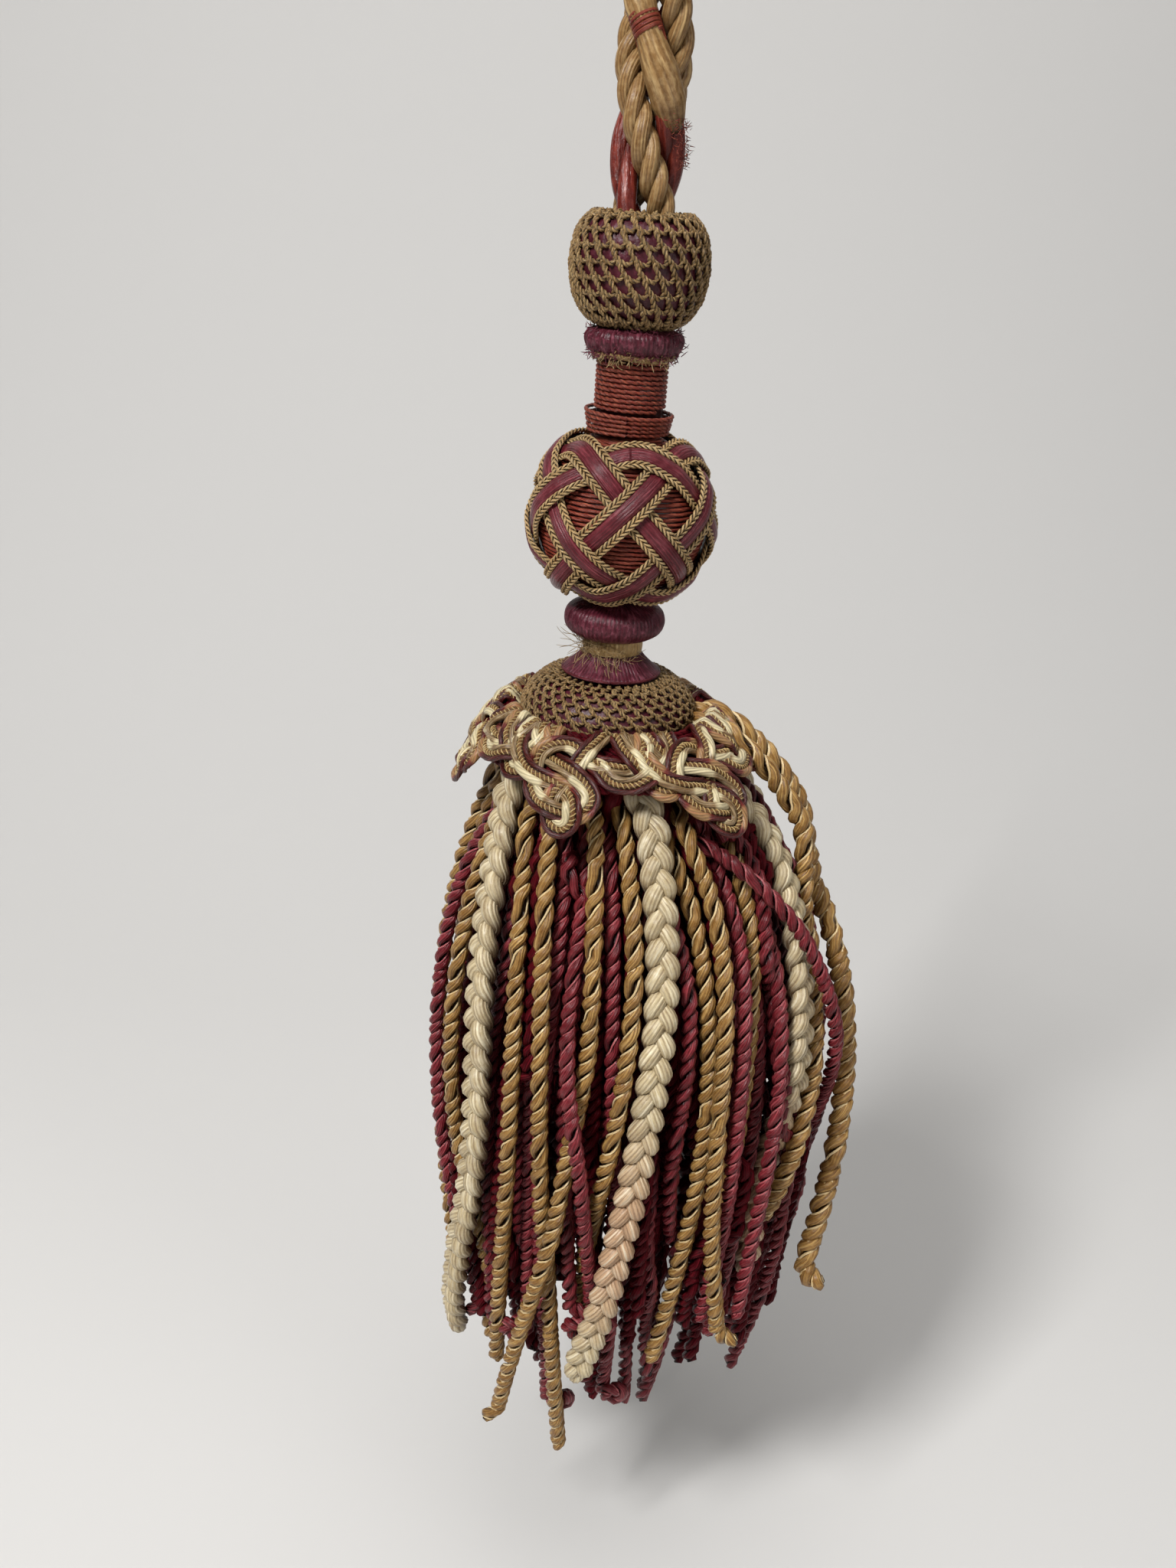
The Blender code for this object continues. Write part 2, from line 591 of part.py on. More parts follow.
def band(name, rows, order):
    """One length of the trim's band, lofted, with its flat side on the shoulder."""
    line = rounded(rows)
    line[:, 2] = TRIM_LIFT + TRIM_THICK / 2.0 + TRIM_RISE * (1.0 + np.clip(line[:, 2], -1.0, 1.0))
    line[:, 2] += 0.11 * order + 0.05 * np.sin(np.arange(len(line)) / 7.0)
    places = np.array([bed_point(*row) for row in line])
    gone = np.concatenate([[0.0], np.cumsum(np.linalg.norm(np.diff(places, axis=0), axis=1))])
    at = np.linspace(0.0, gone[-1], int(round(gone[-1] / (TRIM_STEP * MM))) + 1)
    line = np.stack([np.interp(at, gone, line[:, k]) for k in range(3)], axis=1)
    cage = bmesh.new()
    rings = []
    for i, (azimuth, down, height) in enumerate(line):
        here = bed_point(azimuth, down, height)
        out = (bed_point(azimuth, down, height + 1.0) - here).normalized()
        ahead = bed_point(*line[min(i + 1, len(line) - 1)])
        behind = bed_point(*line[max(i - 1, 0)])
        side = out.cross(ahead - behind).normalized()
        ring = []
        for across, up in ((-1, -1), (1, -1), (0, 1)):
            offset = side * (across * TRIM_WIDTH / 2.0) + out * (up * TRIM_THICK / 2.0)
            ring.append(cage.verts.new(here + offset * MM))
        rings.append(ring)
    for ring, after in zip(rings, rings[1:]):
        for k in range(3):
            cage.faces.new((ring[k], ring[k - 1], after[k - 1], after[k]))
    cage.faces.new(rings[0])
    cage.faces.new(rings[-1])
    bmesh.ops.triangulate(cage, faces=cage.faces)
    bmesh.ops.recalc_face_normals(cage, faces=cage.faces)
    mesh = bpy.data.meshes.new(name)
    cage.to_mesh(mesh)
    cage.free()
    return add_object(name, mesh, None, "guides")


def drop_crumbs(made):
    """Keeps the largest piece of the union, and dissolves the points that lie on straight edges."""
    cage = bmesh.new()
    cage.from_mesh(made.data)
    left = set(cage.faces)
    pieces = []
    while left:
        piece, edge = set(), {left.pop()}
        while edge:
            piece |= edge
            edge = {near for face in edge for side in face.edges for near in side.link_faces} - piece
        left -= piece
        pieces.append(piece)
    largest = max(pieces, key=len)
    crumbs = [face for piece in pieces if piece is not largest for face in piece]
    bmesh.ops.delete(cage, geom=crumbs, context="FACES")
    bmesh.ops.dissolve_limit(cage, angle_limit=rad(3.0), verts=cage.verts, edges=cage.edges)
    bmesh.ops.triangulate(cage, faces=cage.faces)
    cage.to_mesh(made.data)
    cage.free()


def make_trim(material):
    bands = bpy.data.collections.new("trim_bands")
    bpy.context.scene.collection.children.link(bands)
    for repeat in range(REPEATS):
        shift = np.array([TRIM_TURN + repeat * 360.0 / REPEATS, 0.0, 0.0])
        for order, (name, rows) in enumerate(TRIM.items()):
            bands.objects.link(band(f"{name}_{repeat}", np.array(rows) + shift, order))
    low, high = HEADING_HEIGHTS
    outer = [bed_point(90.0, HEADING_EDGE, height) for height in (high, low)]
    profile = [HEADING_HOLE[0], *((p.x / MM - TRIM_BED[3][2], -p.z / MM - RIM) for p in outer), HEADING_HOLE[1]]
    heading = plain_mesh(turned("gimp_trim", profile, material, 24, closed=True))
    heading.data.transform(Matrix.Translation((HEADING_MIDDLE * MM, 0.0, 0.0)))
    union = heading.modifiers.new("fuse", "BOOLEAN")
    union.operation = "UNION"
    union.solver = "EXACT"
    union.operand_type = "COLLECTION"
    union.collection = bands
    union.use_self = True
    drop_crumbs(plain_mesh(heading, merge=False))


def main():
    clear_scene()
    gold = fabric("gold cord", (0.36, 0.24, 0.09))
    burgundy = fabric("burgundy cord", (0.22, 0.04, 0.05))
    cream = fabric("cream floss", (0.68, 0.58, 0.40))
    plum = fabric("plum satin", (0.16, 0.03, 0.05), 0.5)
    red = fabric("red winding", (0.33, 0.08, 0.06))
    net = fabric("gold netting", (0.34, 0.24, 0.11))
    trim = fabric("looped trim", (0.42, 0.29, 0.15))
    make_rope(gold, burgundy)
    make_head(plum, net, red, gold)
    make_strapwork(plum)
    make_skirt({"cream": cream, "gold": gold, "burgundy": burgundy, "inner": burgundy})
    make_trim(trim)


main()
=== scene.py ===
# %% [markdown]
# # A curtain tassel, from its rope to its fringe
# The tassel hangs from a short rope. Below the rope come a small netted ball, a wound neck, a large ball
# in plaited strapwork, a disc, a netted shoulder with looped trim, and a long skirt of twisted cords.
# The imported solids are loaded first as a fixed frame, and each one is then dressed with a finer piece.

# %% Load the frame
import math
import random

import bmesh
import bpy
import numpy as np
from mathutils import Matrix, Vector
from mathutils.kdtree import KDTree


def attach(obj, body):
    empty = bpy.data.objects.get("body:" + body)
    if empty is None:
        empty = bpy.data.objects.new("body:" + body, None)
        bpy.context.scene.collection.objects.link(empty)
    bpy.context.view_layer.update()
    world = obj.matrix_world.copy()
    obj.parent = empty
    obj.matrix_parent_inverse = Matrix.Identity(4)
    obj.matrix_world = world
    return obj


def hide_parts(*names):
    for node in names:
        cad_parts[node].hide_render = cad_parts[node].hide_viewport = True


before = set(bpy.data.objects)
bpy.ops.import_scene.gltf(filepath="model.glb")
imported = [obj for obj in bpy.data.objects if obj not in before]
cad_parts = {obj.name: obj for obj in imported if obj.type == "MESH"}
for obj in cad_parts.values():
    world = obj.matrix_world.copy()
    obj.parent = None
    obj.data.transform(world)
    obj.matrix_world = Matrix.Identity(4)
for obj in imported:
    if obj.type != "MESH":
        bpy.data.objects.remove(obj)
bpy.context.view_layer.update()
MM = 0.001

# %% [markdown]
# ## The camera
# The tassel is seen from the front and a little from above, close enough for its skirt to spread towards
# the lower edge of the picture. The camera's three directions are worked out from its pitch and its roll,
# because a matrix of those directions can't turn it round by mistake as three angles can.

# %% Camera
CAMERA_PLACE = (-0.004, -0.351, -0.0886)
CAMERA_PITCH = math.radians(22.6)
CAMERA_ROLL = math.radians(3.85)
CAMERA_LENS = 31.64


def make_camera():
    level = Vector((1.0, 0.0, 0.0))
    rise = Vector((0.0, math.sin(CAMERA_PITCH), math.cos(CAMERA_PITCH)))
    ahead = Vector((0.0, math.cos(CAMERA_PITCH), -math.sin(CAMERA_PITCH)))
    right = level * math.cos(CAMERA_ROLL) + rise * math.sin(CAMERA_ROLL)
    up = rise * math.cos(CAMERA_ROLL) - level * math.sin(CAMERA_ROLL)
    data = bpy.data.cameras.new("camera")
    data.lens = CAMERA_LENS
    data.sensor_width = 36.0
    data.clip_start = 0.01
    made = bpy.data.objects.new("camera", data)
    bpy.context.scene.collection.objects.link(made)
    turn = Matrix((right, up, -ahead)).transposed().to_4x4()
    made.matrix_world = Matrix.Translation(CAMERA_PLACE) @ turn
    return made


bpy.context.scene.camera = make_camera()
print("camera at", CAMERA_PLACE)

# %% [markdown]
# ## Building node trees
# Both the shapes and the finishes are made of nodes. One helper adds a node and links or sets its inputs,
# and another adds a Math node, so that a tree reads from top to bottom like a sum.

# %% Node helpers
def add(tree, kind, inputs=None, **settings):
    """Adds a node with its settings, and links or sets its inputs."""
    made = tree.nodes.new(kind)
    for name, value in settings.items():
        setattr(made, name, value)
    for where, value in (inputs or {}).items():
        socket = made.inputs[where]
        if isinstance(value, bpy.types.NodeSocket):
            tree.links.new(value, socket)
        else:
            socket.default_value = value
    return made


def sums(tree, operation, *values, clamp=False):
    """The result of a Math node on values or sockets."""
    made = add(tree, "ShaderNodeMath", dict(enumerate(values)), operation=operation, use_clamp=clamp)
    return made.outputs[0]


def vectors(tree, operation, *values):
    """The result of a Vector Math node on values or sockets."""
    made = add(tree, "ShaderNodeVectorMath", dict(enumerate(values)), operation=operation)
    return made.outputs["Value"] if operation == "LENGTH" else made.outputs[0]


def scaled(tree, vector, by):
    made = add(tree, "ShaderNodeVectorMath", {0: vector, "Scale": by}, operation="SCALE")
    return made.outputs[0]


def new_tree(name, kind, inputs, outputs):
    """An empty group with named sockets, each a name, a type and a starting value."""
    tree = bpy.data.node_groups.new(name, kind)
    for way, rows in (("INPUT", inputs), ("OUTPUT", outputs)):
        for label, sort, value in rows:
            made = tree.interface.new_socket(label, in_out=way, socket_type="NodeSocket" + sort)
            if value is not None:
                made.default_value = value
    return tree


# %% [markdown]
# ## A twisted cord
# A cord is two or more plies laid round each other, and each ply is a bundle of finer yarns. Nearly every
# surface of the tassel is some cord of this sort, so one Geometry Nodes tree makes them all. It resamples
# a route, copies it once for each ply, swings the copies round the route, and sweeps a ridged outline
# along each copy, whose ridges are the yarns. Its inputs are the sizes that a cord maker would name.

# %% Sizes of a cord
CORD_INPUTS = [
    ("Geometry", "Geometry", None), ("Plies", "Int", 2), ("Ply Radius", "Float", 0.0013),
    ("Lay Radius", "Float", 0.0013), ("Pitch", "Float", 0.0092), ("Phase", "Float", 0.0),
    ("Step", "Float", 0.001), ("Sides", "Int", 10), ("Yarns", "Int", 5), ("Yarn Depth", "Float", 0.06),
    ("Yarn Twist", "Float", 120.0), ("Uneven", "Float", 0.06), ("Wander", "Float", 0.15),
    ("Loose", "Float", 0.0), ("Tip", "Float", 0.0), ("Material", "Material", None),
]
LOOSE_FADE = 0.04
NARROWEST_TIP = 0.3
print("sizes of a cord:", len(CORD_INPUTS))

# %% The tip and the outline of a ply
def tip_factor(tree, left, length):
    """1 along the cord, falling in a quarter circle over the last length of it."""
    share = sums(tree, "DIVIDE", left, sums(tree, "MAXIMUM", length, 1e-6), clamp=True)
    back = sums(tree, "SUBTRACT", 1.0, share)
    fall = sums(tree, "SQRT", sums(tree, "SUBTRACT", 1.0, sums(tree, "MULTIPLY", back, back)))
    return sums(tree, "MAXIMUM", fall, NARROWEST_TIP)


def cord_profile(tree, given):
    """The ridged outline of a ply, with its direction from the middle kept as an attribute."""
    circle = add(tree, "GeometryNodeCurvePrimitiveCircle",
                 {"Resolution": given["Sides"], "Radius": given["Ply Radius"]})
    factor = add(tree, "GeometryNodeSplineParameter").outputs["Factor"]
    turn = sums(tree, "MULTIPLY", factor, 2.0 * math.pi)
    facing = add(tree, "ShaderNodeCombineXYZ",
                 {"X": sums(tree, "COSINE", turn), "Y": sums(tree, "SINE", turn)})
    kept = add(tree, "GeometryNodeStoreNamedAttribute",
               {"Geometry": circle.outputs["Curve"], "Name": "round", "Value": facing.outputs[0]},
               data_type="FLOAT_VECTOR", domain="POINT")
    ridge = sums(tree, "COSINE", sums(tree, "MULTIPLY", turn, given["Yarns"]))
    proud = scaled(tree, add(tree, "GeometryNodeInputPosition").outputs[0],
                   sums(tree, "MULTIPLY", ridge, given["Yarn Depth"]))
    return add(tree, "GeometryNodeSetPosition", {"Geometry": kept.outputs[0], "Offset": proud}).outputs[0]


def stored(tree, line, name, value, domain="POINT"):
    return add(tree, "GeometryNodeStoreNamedAttribute", {"Geometry": line, "Name": name, "Value": value},
               data_type="FLOAT", domain=domain).outputs[0]


def kept(tree, name):
    """A number that was stored on the line."""
    return add(tree, "GeometryNodeInputNamedAttribute", {"Name": name}, data_type="FLOAT").outputs[0]


# %% The line of each ply
def marked_line(tree, given):
    """The route at equal steps with its lengths, number and middle stored, copied once for each ply."""
    line = add(tree, "GeometryNodeResampleCurve", {"Curve": given["Geometry"], "Length": given["Step"]},
               mode="LENGTH").outputs[0]
    along = add(tree, "GeometryNodeSplineParameter").outputs["Length"]
    whole = add(tree, "GeometryNodeSplineLength").outputs["Length"]
    line = stored(tree, line, "along", along)
    line = stored(tree, line, "left", sums(tree, "SUBTRACT", whole, along))
    line = stored(tree, line, "cord", add(tree, "GeometryNodeInputIndex").outputs[0], "CURVE")
    line = stored(tree, line, "thick", add(tree, "GeometryNodeInputRadius").outputs[0])
    middle = add(tree, "GeometryNodeInputPosition").outputs[0]
    line = add(tree, "GeometryNodeStoreNamedAttribute", {"Geometry": line, "Name": "centre", "Value": middle},
               data_type="FLOAT_VECTOR", domain="POINT").outputs[0]
    copies = add(tree, "GeometryNodeDuplicateElements", {"Geometry": line, "Amount": given["Plies"]},
                 domain="SPLINE")
    return stored(tree, copies.outputs["Geometry"], "ply", copies.outputs["Duplicate Index"])


def ply_angle(tree, given, swing):
    """The angle of a ply round the route, a little uneven and less tightly laid away from the start."""
    fade = sums(tree, "EXPONENT", sums(tree, "DIVIDE", kept(tree, "along"), -LOOSE_FADE))
    unlaid = sums(tree, "MULTIPLY", given["Loose"], sums(tree, "SUBTRACT", 1.0, fade))
    turns = sums(tree, "DIVIDE", sums(tree, "SUBTRACT", kept(tree, "along"), unlaid), given["Pitch"])
    turns = sums(tree, "ADD", turns, sums(tree, "DIVIDE", kept(tree, "ply"), given["Plies"]))
    turns = sums(tree, "ADD", turns, given["Phase"])
    turns = sums(tree, "ADD", turns, sums(tree, "MULTIPLY", swing, given["Wander"]))
    return sums(tree, "MULTIPLY", turns, 2.0 * math.pi)


def laid_round(tree, line, given, swing):
    """Each ply moved out to its place in the cord, and given its twist and its thickness."""
    angle = ply_angle(tree, given, swing)
    normal = add(tree, "GeometryNodeInputNormal").outputs[0]
    tangent = add(tree, "GeometryNodeInputTangent").outputs[0]
    beside = vectors(tree, "CROSS_PRODUCT", tangent, normal)
    reach = vectors(tree, "ADD", scaled(tree, normal, sums(tree, "COSINE", angle)),
                    scaled(tree, beside, sums(tree, "SINE", angle)))
    lay = sums(tree, "MULTIPLY", given["Lay Radius"], kept(tree, "thick"))
    lay = sums(tree, "MULTIPLY", lay, tip_factor(tree, kept(tree, "left"), given["Tip"]))
    line = add(tree, "GeometryNodeSetPosition",
               {"Geometry": line, "Offset": scaled(tree, reach, lay)}).outputs[0]
    size = sums(tree, "ADD", 1.0, sums(tree, "MULTIPLY", swing, sums(tree, "MULTIPLY", given["Uneven"], 2.0)))
    size = sums(tree, "MULTIPLY", size, kept(tree, "thick"))
    half_tip = sums(tree, "MULTIPLY", given["Tip"], 0.5)
    size = sums(tree, "MULTIPLY", size, tip_factor(tree, kept(tree, "left"), half_tip))
    tilt = sums(tree, "MULTIPLY", kept(tree, "along"), given["Yarn Twist"])
    line = add(tree, "GeometryNodeSetCurveTilt", {"Curve": line, "Tilt": tilt}).outputs[0]
    return add(tree, "GeometryNodeSetCurveRadius", {"Curve": line, "Radius": size}).outputs[0]


# %% The cord tree
def cord_tree():
    tree = new_tree("twisted cord", "GeometryNodeTree", CORD_INPUTS, [("Geometry", "Geometry", None)])
    given = add(tree, "NodeGroupInput").outputs
    line = marked_line(tree, given)
    here = add(tree, "GeometryNodeInputPosition").outputs[0]
    noise = add(tree, "ShaderNodeTexNoise", {"Vector": here, "Scale": 110.0, "Detail": 1.0}).outputs[0]
    line = laid_round(tree, line, given, sums(tree, "SUBTRACT", noise, 0.5))
    sweep = add(tree, "GeometryNodeCurveToMesh",
                {"Curve": line, "Profile Curve": cord_profile(tree, given), "Fill Caps": True})
    if "Scale" in sweep.inputs:
        tree.links.new(add(tree, "GeometryNodeInputRadius").outputs[0], sweep.inputs["Scale"])
    # The share of the way out from the middle is kept as outer; the materials darken small shares as painted
    # shade in the hollows between plies.
    middle = add(tree, "GeometryNodeInputNamedAttribute", {"Name": "centre"},
                 data_type="FLOAT_VECTOR").outputs[0]
    away = vectors(tree, "LENGTH", vectors(tree, "SUBTRACT", here, middle))
    outer = sums(tree, "DIVIDE", away, sums(tree, "ADD", given["Lay Radius"], given["Ply Radius"]))
    swept = stored(tree, sweep.outputs[0], "outer", outer)
    smooth = add(tree, "GeometryNodeSetShadeSmooth", {"Geometry": swept}).outputs[0]
    whole_piece = add(tree, "GeometryNodeRealizeInstances", {"Geometry": smooth}).outputs[0]
    finish = add(tree, "GeometryNodeSetMaterial", {"Geometry": whole_piece, "Material": given["Material"]})
    add(tree, "NodeGroupOutput", {"Geometry": finish.outputs[0]})
    return tree


CORD_TREE = cord_tree()
print("cord tree:", len(CORD_TREE.nodes), "nodes")

# %% [markdown]
# ## From routes to a piece
# A route is a row of points in metres. The routes of one piece go into one curve object, the tree turns
# them into cords, and the result is kept as a plain mesh, so nothing is left to work out later.

# %% Grow cords along routes
def add_object(name, data):
    made = bpy.data.objects.new(name, data)
    bpy.context.scene.collection.objects.link(made)
    return made


def grow(name, routes, material, closed=False, thick=None, **sizes):
    """A mesh object of cords along the routes. thick holds each point's share of the full radius."""
    curve = bpy.data.curves.new(name, "CURVE")
    curve.dimensions = "3D"
    for k, route in enumerate(routes):
        spline = curve.splines.new("POLY")
        spline.points.add(len(route) - 1)
        spline.points.foreach_set("co", np.column_stack([route, np.ones(len(route))]).ravel())
        if thick is not None:
            spline.points.foreach_set("radius", np.asarray(thick[k], float))
        spline.use_cyclic_u = closed
    holder = add_object(name + "_route", curve)
    nodes = holder.modifiers.new("cord", "NODES")
    nodes.node_group = CORD_TREE
    sizes["material"] = material
    for item in CORD_TREE.interface.items_tree:
        key = item.name.lower().replace(" ", "_")
        if item.in_out == "INPUT" and key in sizes:
            nodes[item.identifier] = sizes[key]
    mesh = bpy.data.meshes.new_from_object(holder.evaluated_get(bpy.context.evaluated_depsgraph_get()))
    bpy.data.objects.remove(holder, do_unlink=True)
    mesh.name = name
    return add_object(name, mesh)

# %% Finish and join pieces
def finish_piece(piece, slot, *nodes):
    """The piece hangs with the tassel, and stands for the solids that it replaces."""
    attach(piece, "root")
    if nodes:
        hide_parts(*nodes)
    print(f"{piece.name}: {len(piece.data.polygons)} faces")
    return piece


def joined(name, pieces):
    """Several mesh objects as one, with their materials."""
    bpy.ops.object.select_all(action="DESELECT")
    for piece in pieces:
        piece.select_set(True)
    bpy.context.view_layer.objects.active = pieces[0]
    bpy.ops.object.join()
    pieces[0].name = name
    return pieces[0]


# %% [markdown]
# ## Where a point is
# The makers of such a tassel work round an axis, so a place is a radius, an azimuth and a depth below the
# top of the small ball. Azimuth 0 is the front, and 90 is the viewer's right.

# %% Places round the axis
RIM = 88.6


def rad(degrees):
    return math.radians(degrees)


def around(radius, azimuth, depth, middle=0.0):
    return np.array([
        (middle + radius * math.sin(rad(azimuth))) * MM,
        -radius * math.cos(rad(azimuth)) * MM,
        -(RIM + depth) * MM,
    ])

# %% Lines through points
def length_of(points):
    return float(np.linalg.norm(np.diff(points, axis=0), axis=1).sum())


def smoothed(points, passes, fixed=1):
    """The points after each has been drawn to its neighbours, with the ends left in place."""
    for _ in range(passes):
        middle = (points[:-2] + 2.0 * points[1:-1] + points[2:]) / 4.0
        inner = slice(fixed, len(points) - 1)
        points[inner] = middle[fixed - 1:]
    return points


def resampled(points, step):
    """The same line with points at equal steps, close to the step asked for."""
    gone = np.concatenate([[0.0], np.cumsum(np.linalg.norm(np.diff(points, axis=0), axis=1))])
    count = max(2, int(round(gone[-1] / step)) + 1)
    at = np.linspace(0.0, gone[-1], count)
    return np.stack([np.interp(at, gone, points[:, axis]) for axis in range(3)], axis=1)


def rounded(rows, per_span=8):
    """A smooth line through the rows of a table."""
    rows = np.array(rows, float)
    ends = np.concatenate([2.0 * rows[:1] - rows[1:2], rows, 2.0 * rows[-1:] - rows[-2:-1]])
    line = []
    for a, b, c, d in zip(ends[:-3], ends[1:-2], ends[2:-1], ends[3:]):
        for t in np.arange(per_span) / per_span:
            line.append(0.5 * (2 * b + (c - a) * t + (2 * a - 5 * b + 4 * c - d) * t * t
                               + (3 * b - a - 3 * c + d) * t ** 3))
    return np.array(line + [rows[-1]])


# %% [markdown]
# ## Finishes that every thread shares
# Silk and cotton threads show three things: fine lines and longer streaks where the yarns lie side by side, a
# dye that drifts from place to place, and loose lint. Each of the three is a node group with its own inputs,
# built once and placed in every material with that material's values. The lines and streaks follow the thread
# by two attributes that the cord tree keeps, the way along it and the way round it. In the materials the
# grooves of the lines also carry painted shade, and the streaks painted highlights.

# %% Place a group in a material
def group_in(tree, name, **inputs):
    """A shared group placed in a material, with its inputs linked or set."""
    made = add(tree, "ShaderNodeGroup", node_tree=bpy.data.node_groups[name])
    for key, value in inputs.items():
        socket = made.inputs[key.replace("_", " ").title()]
        if isinstance(value, bpy.types.NodeSocket):
            tree.links.new(value, socket)
        else:
            socket.default_value = value
    return made

# %% Lines and streaks of the yarns
def yarn_lines_group():
    tree = new_tree("yarn lines", "ShaderNodeTree",
                    [("Lines", "Float", 6.0), ("Wobble", "Float", 0.3), ("Streaks", "Float", 2.5)],
                    [("Height", "Float", None), ("Groove", "Float", None), ("Streak", "Float", None)])
    given = add(tree, "NodeGroupInput").outputs
    facing = add(tree, "ShaderNodeAttribute", attribute_name="round").outputs["Vector"]
    parts = add(tree, "ShaderNodeSeparateXYZ", {0: facing}).outputs
    turn = sums(tree, "DIVIDE", sums(tree, "ARCTAN2", parts["Y"], parts["X"]), 2.0 * math.pi)
    where = add(tree, "ShaderNodeTexCoord").outputs["Object"]
    noise = add(tree, "ShaderNodeTexNoise", {"Vector": where, "Scale": 500.0, "Detail": 2.0}).outputs[0]
    phase = sums(tree, "MULTIPLY_ADD", turn, given["Lines"], 0.25)
    phase = sums(tree, "ADD", phase, sums(tree, "MULTIPLY", noise, given["Wobble"]))
    wave = sums(tree, "SINE", sums(tree, "MULTIPLY", phase, 2.0 * math.pi))
    height = sums(tree, "MULTIPLY_ADD", wave, 0.5, 0.5)
    low = sums(tree, "SUBTRACT", 1.0, height)
    along = add(tree, "ShaderNodeAttribute", attribute_name="along").outputs["Fac"]
    cord = add(tree, "ShaderNodeAttribute", attribute_name="cord").outputs["Fac"]
    far = sums(tree, "MULTIPLY_ADD", along, 50.0, sums(tree, "MULTIPLY", cord, 3.7))
    place = add(tree, "ShaderNodeCombineXYZ", {0: parts["X"], 1: parts["Y"], 2: far}).outputs[0]
    uneven = add(tree, "ShaderNodeTexNoise", {"Vector": place, "Scale": given["Streaks"], "Detail": 4.0,
                                              "Roughness": 0.65}).outputs[0]
    streak = sums(tree, "MULTIPLY_ADD", uneven, 3.2, -1.1, clamp=True)
    groove = sums(tree, "MULTIPLY", low, low)
    add(tree, "NodeGroupOutput", {"Height": height, "Groove": groove, "Streak": streak})

# %% Dye that drifts
def dye_group():
    tree = new_tree("dye drift", "ShaderNodeTree",
                    [("Colour", "Color", (0.5, 0.4, 0.2, 1)), ("Light", "Color", (0.7, 0.6, 0.4, 1)),
                     ("Dark", "Color", (0.1, 0.08, 0.04, 1)), ("Patch", "Float", 60.0),
                     ("Drift", "Float", 0.5)],
                    [("Colour", "Color", None)])
    given = add(tree, "NodeGroupInput").outputs
    where = add(tree, "ShaderNodeTexCoord").outputs["Object"]
    broad = add(tree, "ShaderNodeTexNoise",
                {"Vector": where, "Scale": given["Patch"], "Detail": 3.0}).outputs[0]
    fine_scale = sums(tree, "MULTIPLY", given["Patch"], 9.0)
    fine = add(tree, "ShaderNodeTexNoise", {"Vector": where, "Scale": fine_scale, "Detail": 3.0}).outputs[0]
    cord = add(tree, "ShaderNodeAttribute", attribute_name="cord").outputs["Fac"]
    ply = add(tree, "ShaderNodeAttribute", attribute_name="ply").outputs["Fac"]
    each = add(tree, "ShaderNodeTexWhiteNoise", {"W": sums(tree, "MULTIPLY_ADD", ply, 13.7, cord)},
               noise_dimensions="1D").outputs["Value"]
    each = sums(tree, "MULTIPLY_ADD", each, 0.24, -0.12)
    dull = sums(tree, "SUBTRACT", sums(tree, "MULTIPLY_ADD", broad, 2.6, -0.8), 0.15)
    dull = sums(tree, "MULTIPLY", sums(tree, "ADD", dull, each, clamp=True), given["Drift"])
    bright = sums(tree, "MULTIPLY", sums(tree, "MULTIPLY_ADD", fine, 3.2, -1.35, clamp=True), given["Drift"])
    first = add(tree, "ShaderNodeMix", {"Factor": dull, 6: given["Colour"], 7: given["Dark"]},
                data_type="RGBA")
    second = add(tree, "ShaderNodeMix", {"Factor": bright, 6: first.outputs[2], 7: given["Light"]},
                 data_type="RGBA")
    add(tree, "NodeGroupOutput", {"Colour": second.outputs[2]})

# %% Lint
def lint_group():
    tree = new_tree("lint", "ShaderNodeTree", [("Size", "Float", 1500.0), ("Amount", "Float", 0.3)],
                    [("Mask", "Float", None), ("Height", "Float", None)])
    given = add(tree, "NodeGroupInput").outputs
    where = add(tree, "ShaderNodeTexCoord").outputs["Object"]
    warp = add(tree, "ShaderNodeTexNoise", {"Vector": where, "Scale": 260.0, "Detail": 2.0}).outputs["Color"]
    bent = vectors(tree, "ADD", where, scaled(tree, warp, 0.004))
    hairs = add(tree, "ShaderNodeTexNoise", {"Vector": bent, "Scale": given["Size"], "Detail": 4.0,
                                             "Roughness": 0.7}).outputs[0]
    off = sums(tree, "ABSOLUTE", sums(tree, "SUBTRACT", hairs, 0.5))
    ridge = sums(tree, "SUBTRACT", 1.0, sums(tree, "MULTIPLY", 14.0, off), clamp=True)
    add(tree, "NodeGroupOutput", {"Mask": sums(tree, "MULTIPLY", ridge, given["Amount"]), "Height": hairs})


for make in (yarn_lines_group, dye_group, lint_group):
    make()
print("shared groups:", [g.name for g in bpy.data.node_groups if g.bl_idname == "ShaderNodeTree"])

# %% [markdown]
# ## One material for every thread
# Silk floss, satin and twisted cord differ in their dyes and their gloss, not in their build, so one function
# makes all their materials. The groups colour the surface, with painted shade in the yarn grooves and painted
# highlights on the streaks, and the deep hollow between two plies is darkened as painted shade by the
# distance from the middle of the cord. Gloss, sheen and coat are the same all over a thread, so they are set
# on the shader itself.

# %% A thread material
def rgb(red, green, blue):
    """A colour as it looks on a screen, as the linear values that nodes take."""
    return tuple((c / 255.0 / 12.92 if c / 255.0 <= 0.04045 else ((c / 255.0 + 0.055) / 1.055) ** 2.4)
                 for c in (red, green, blue)) + (1.0,)


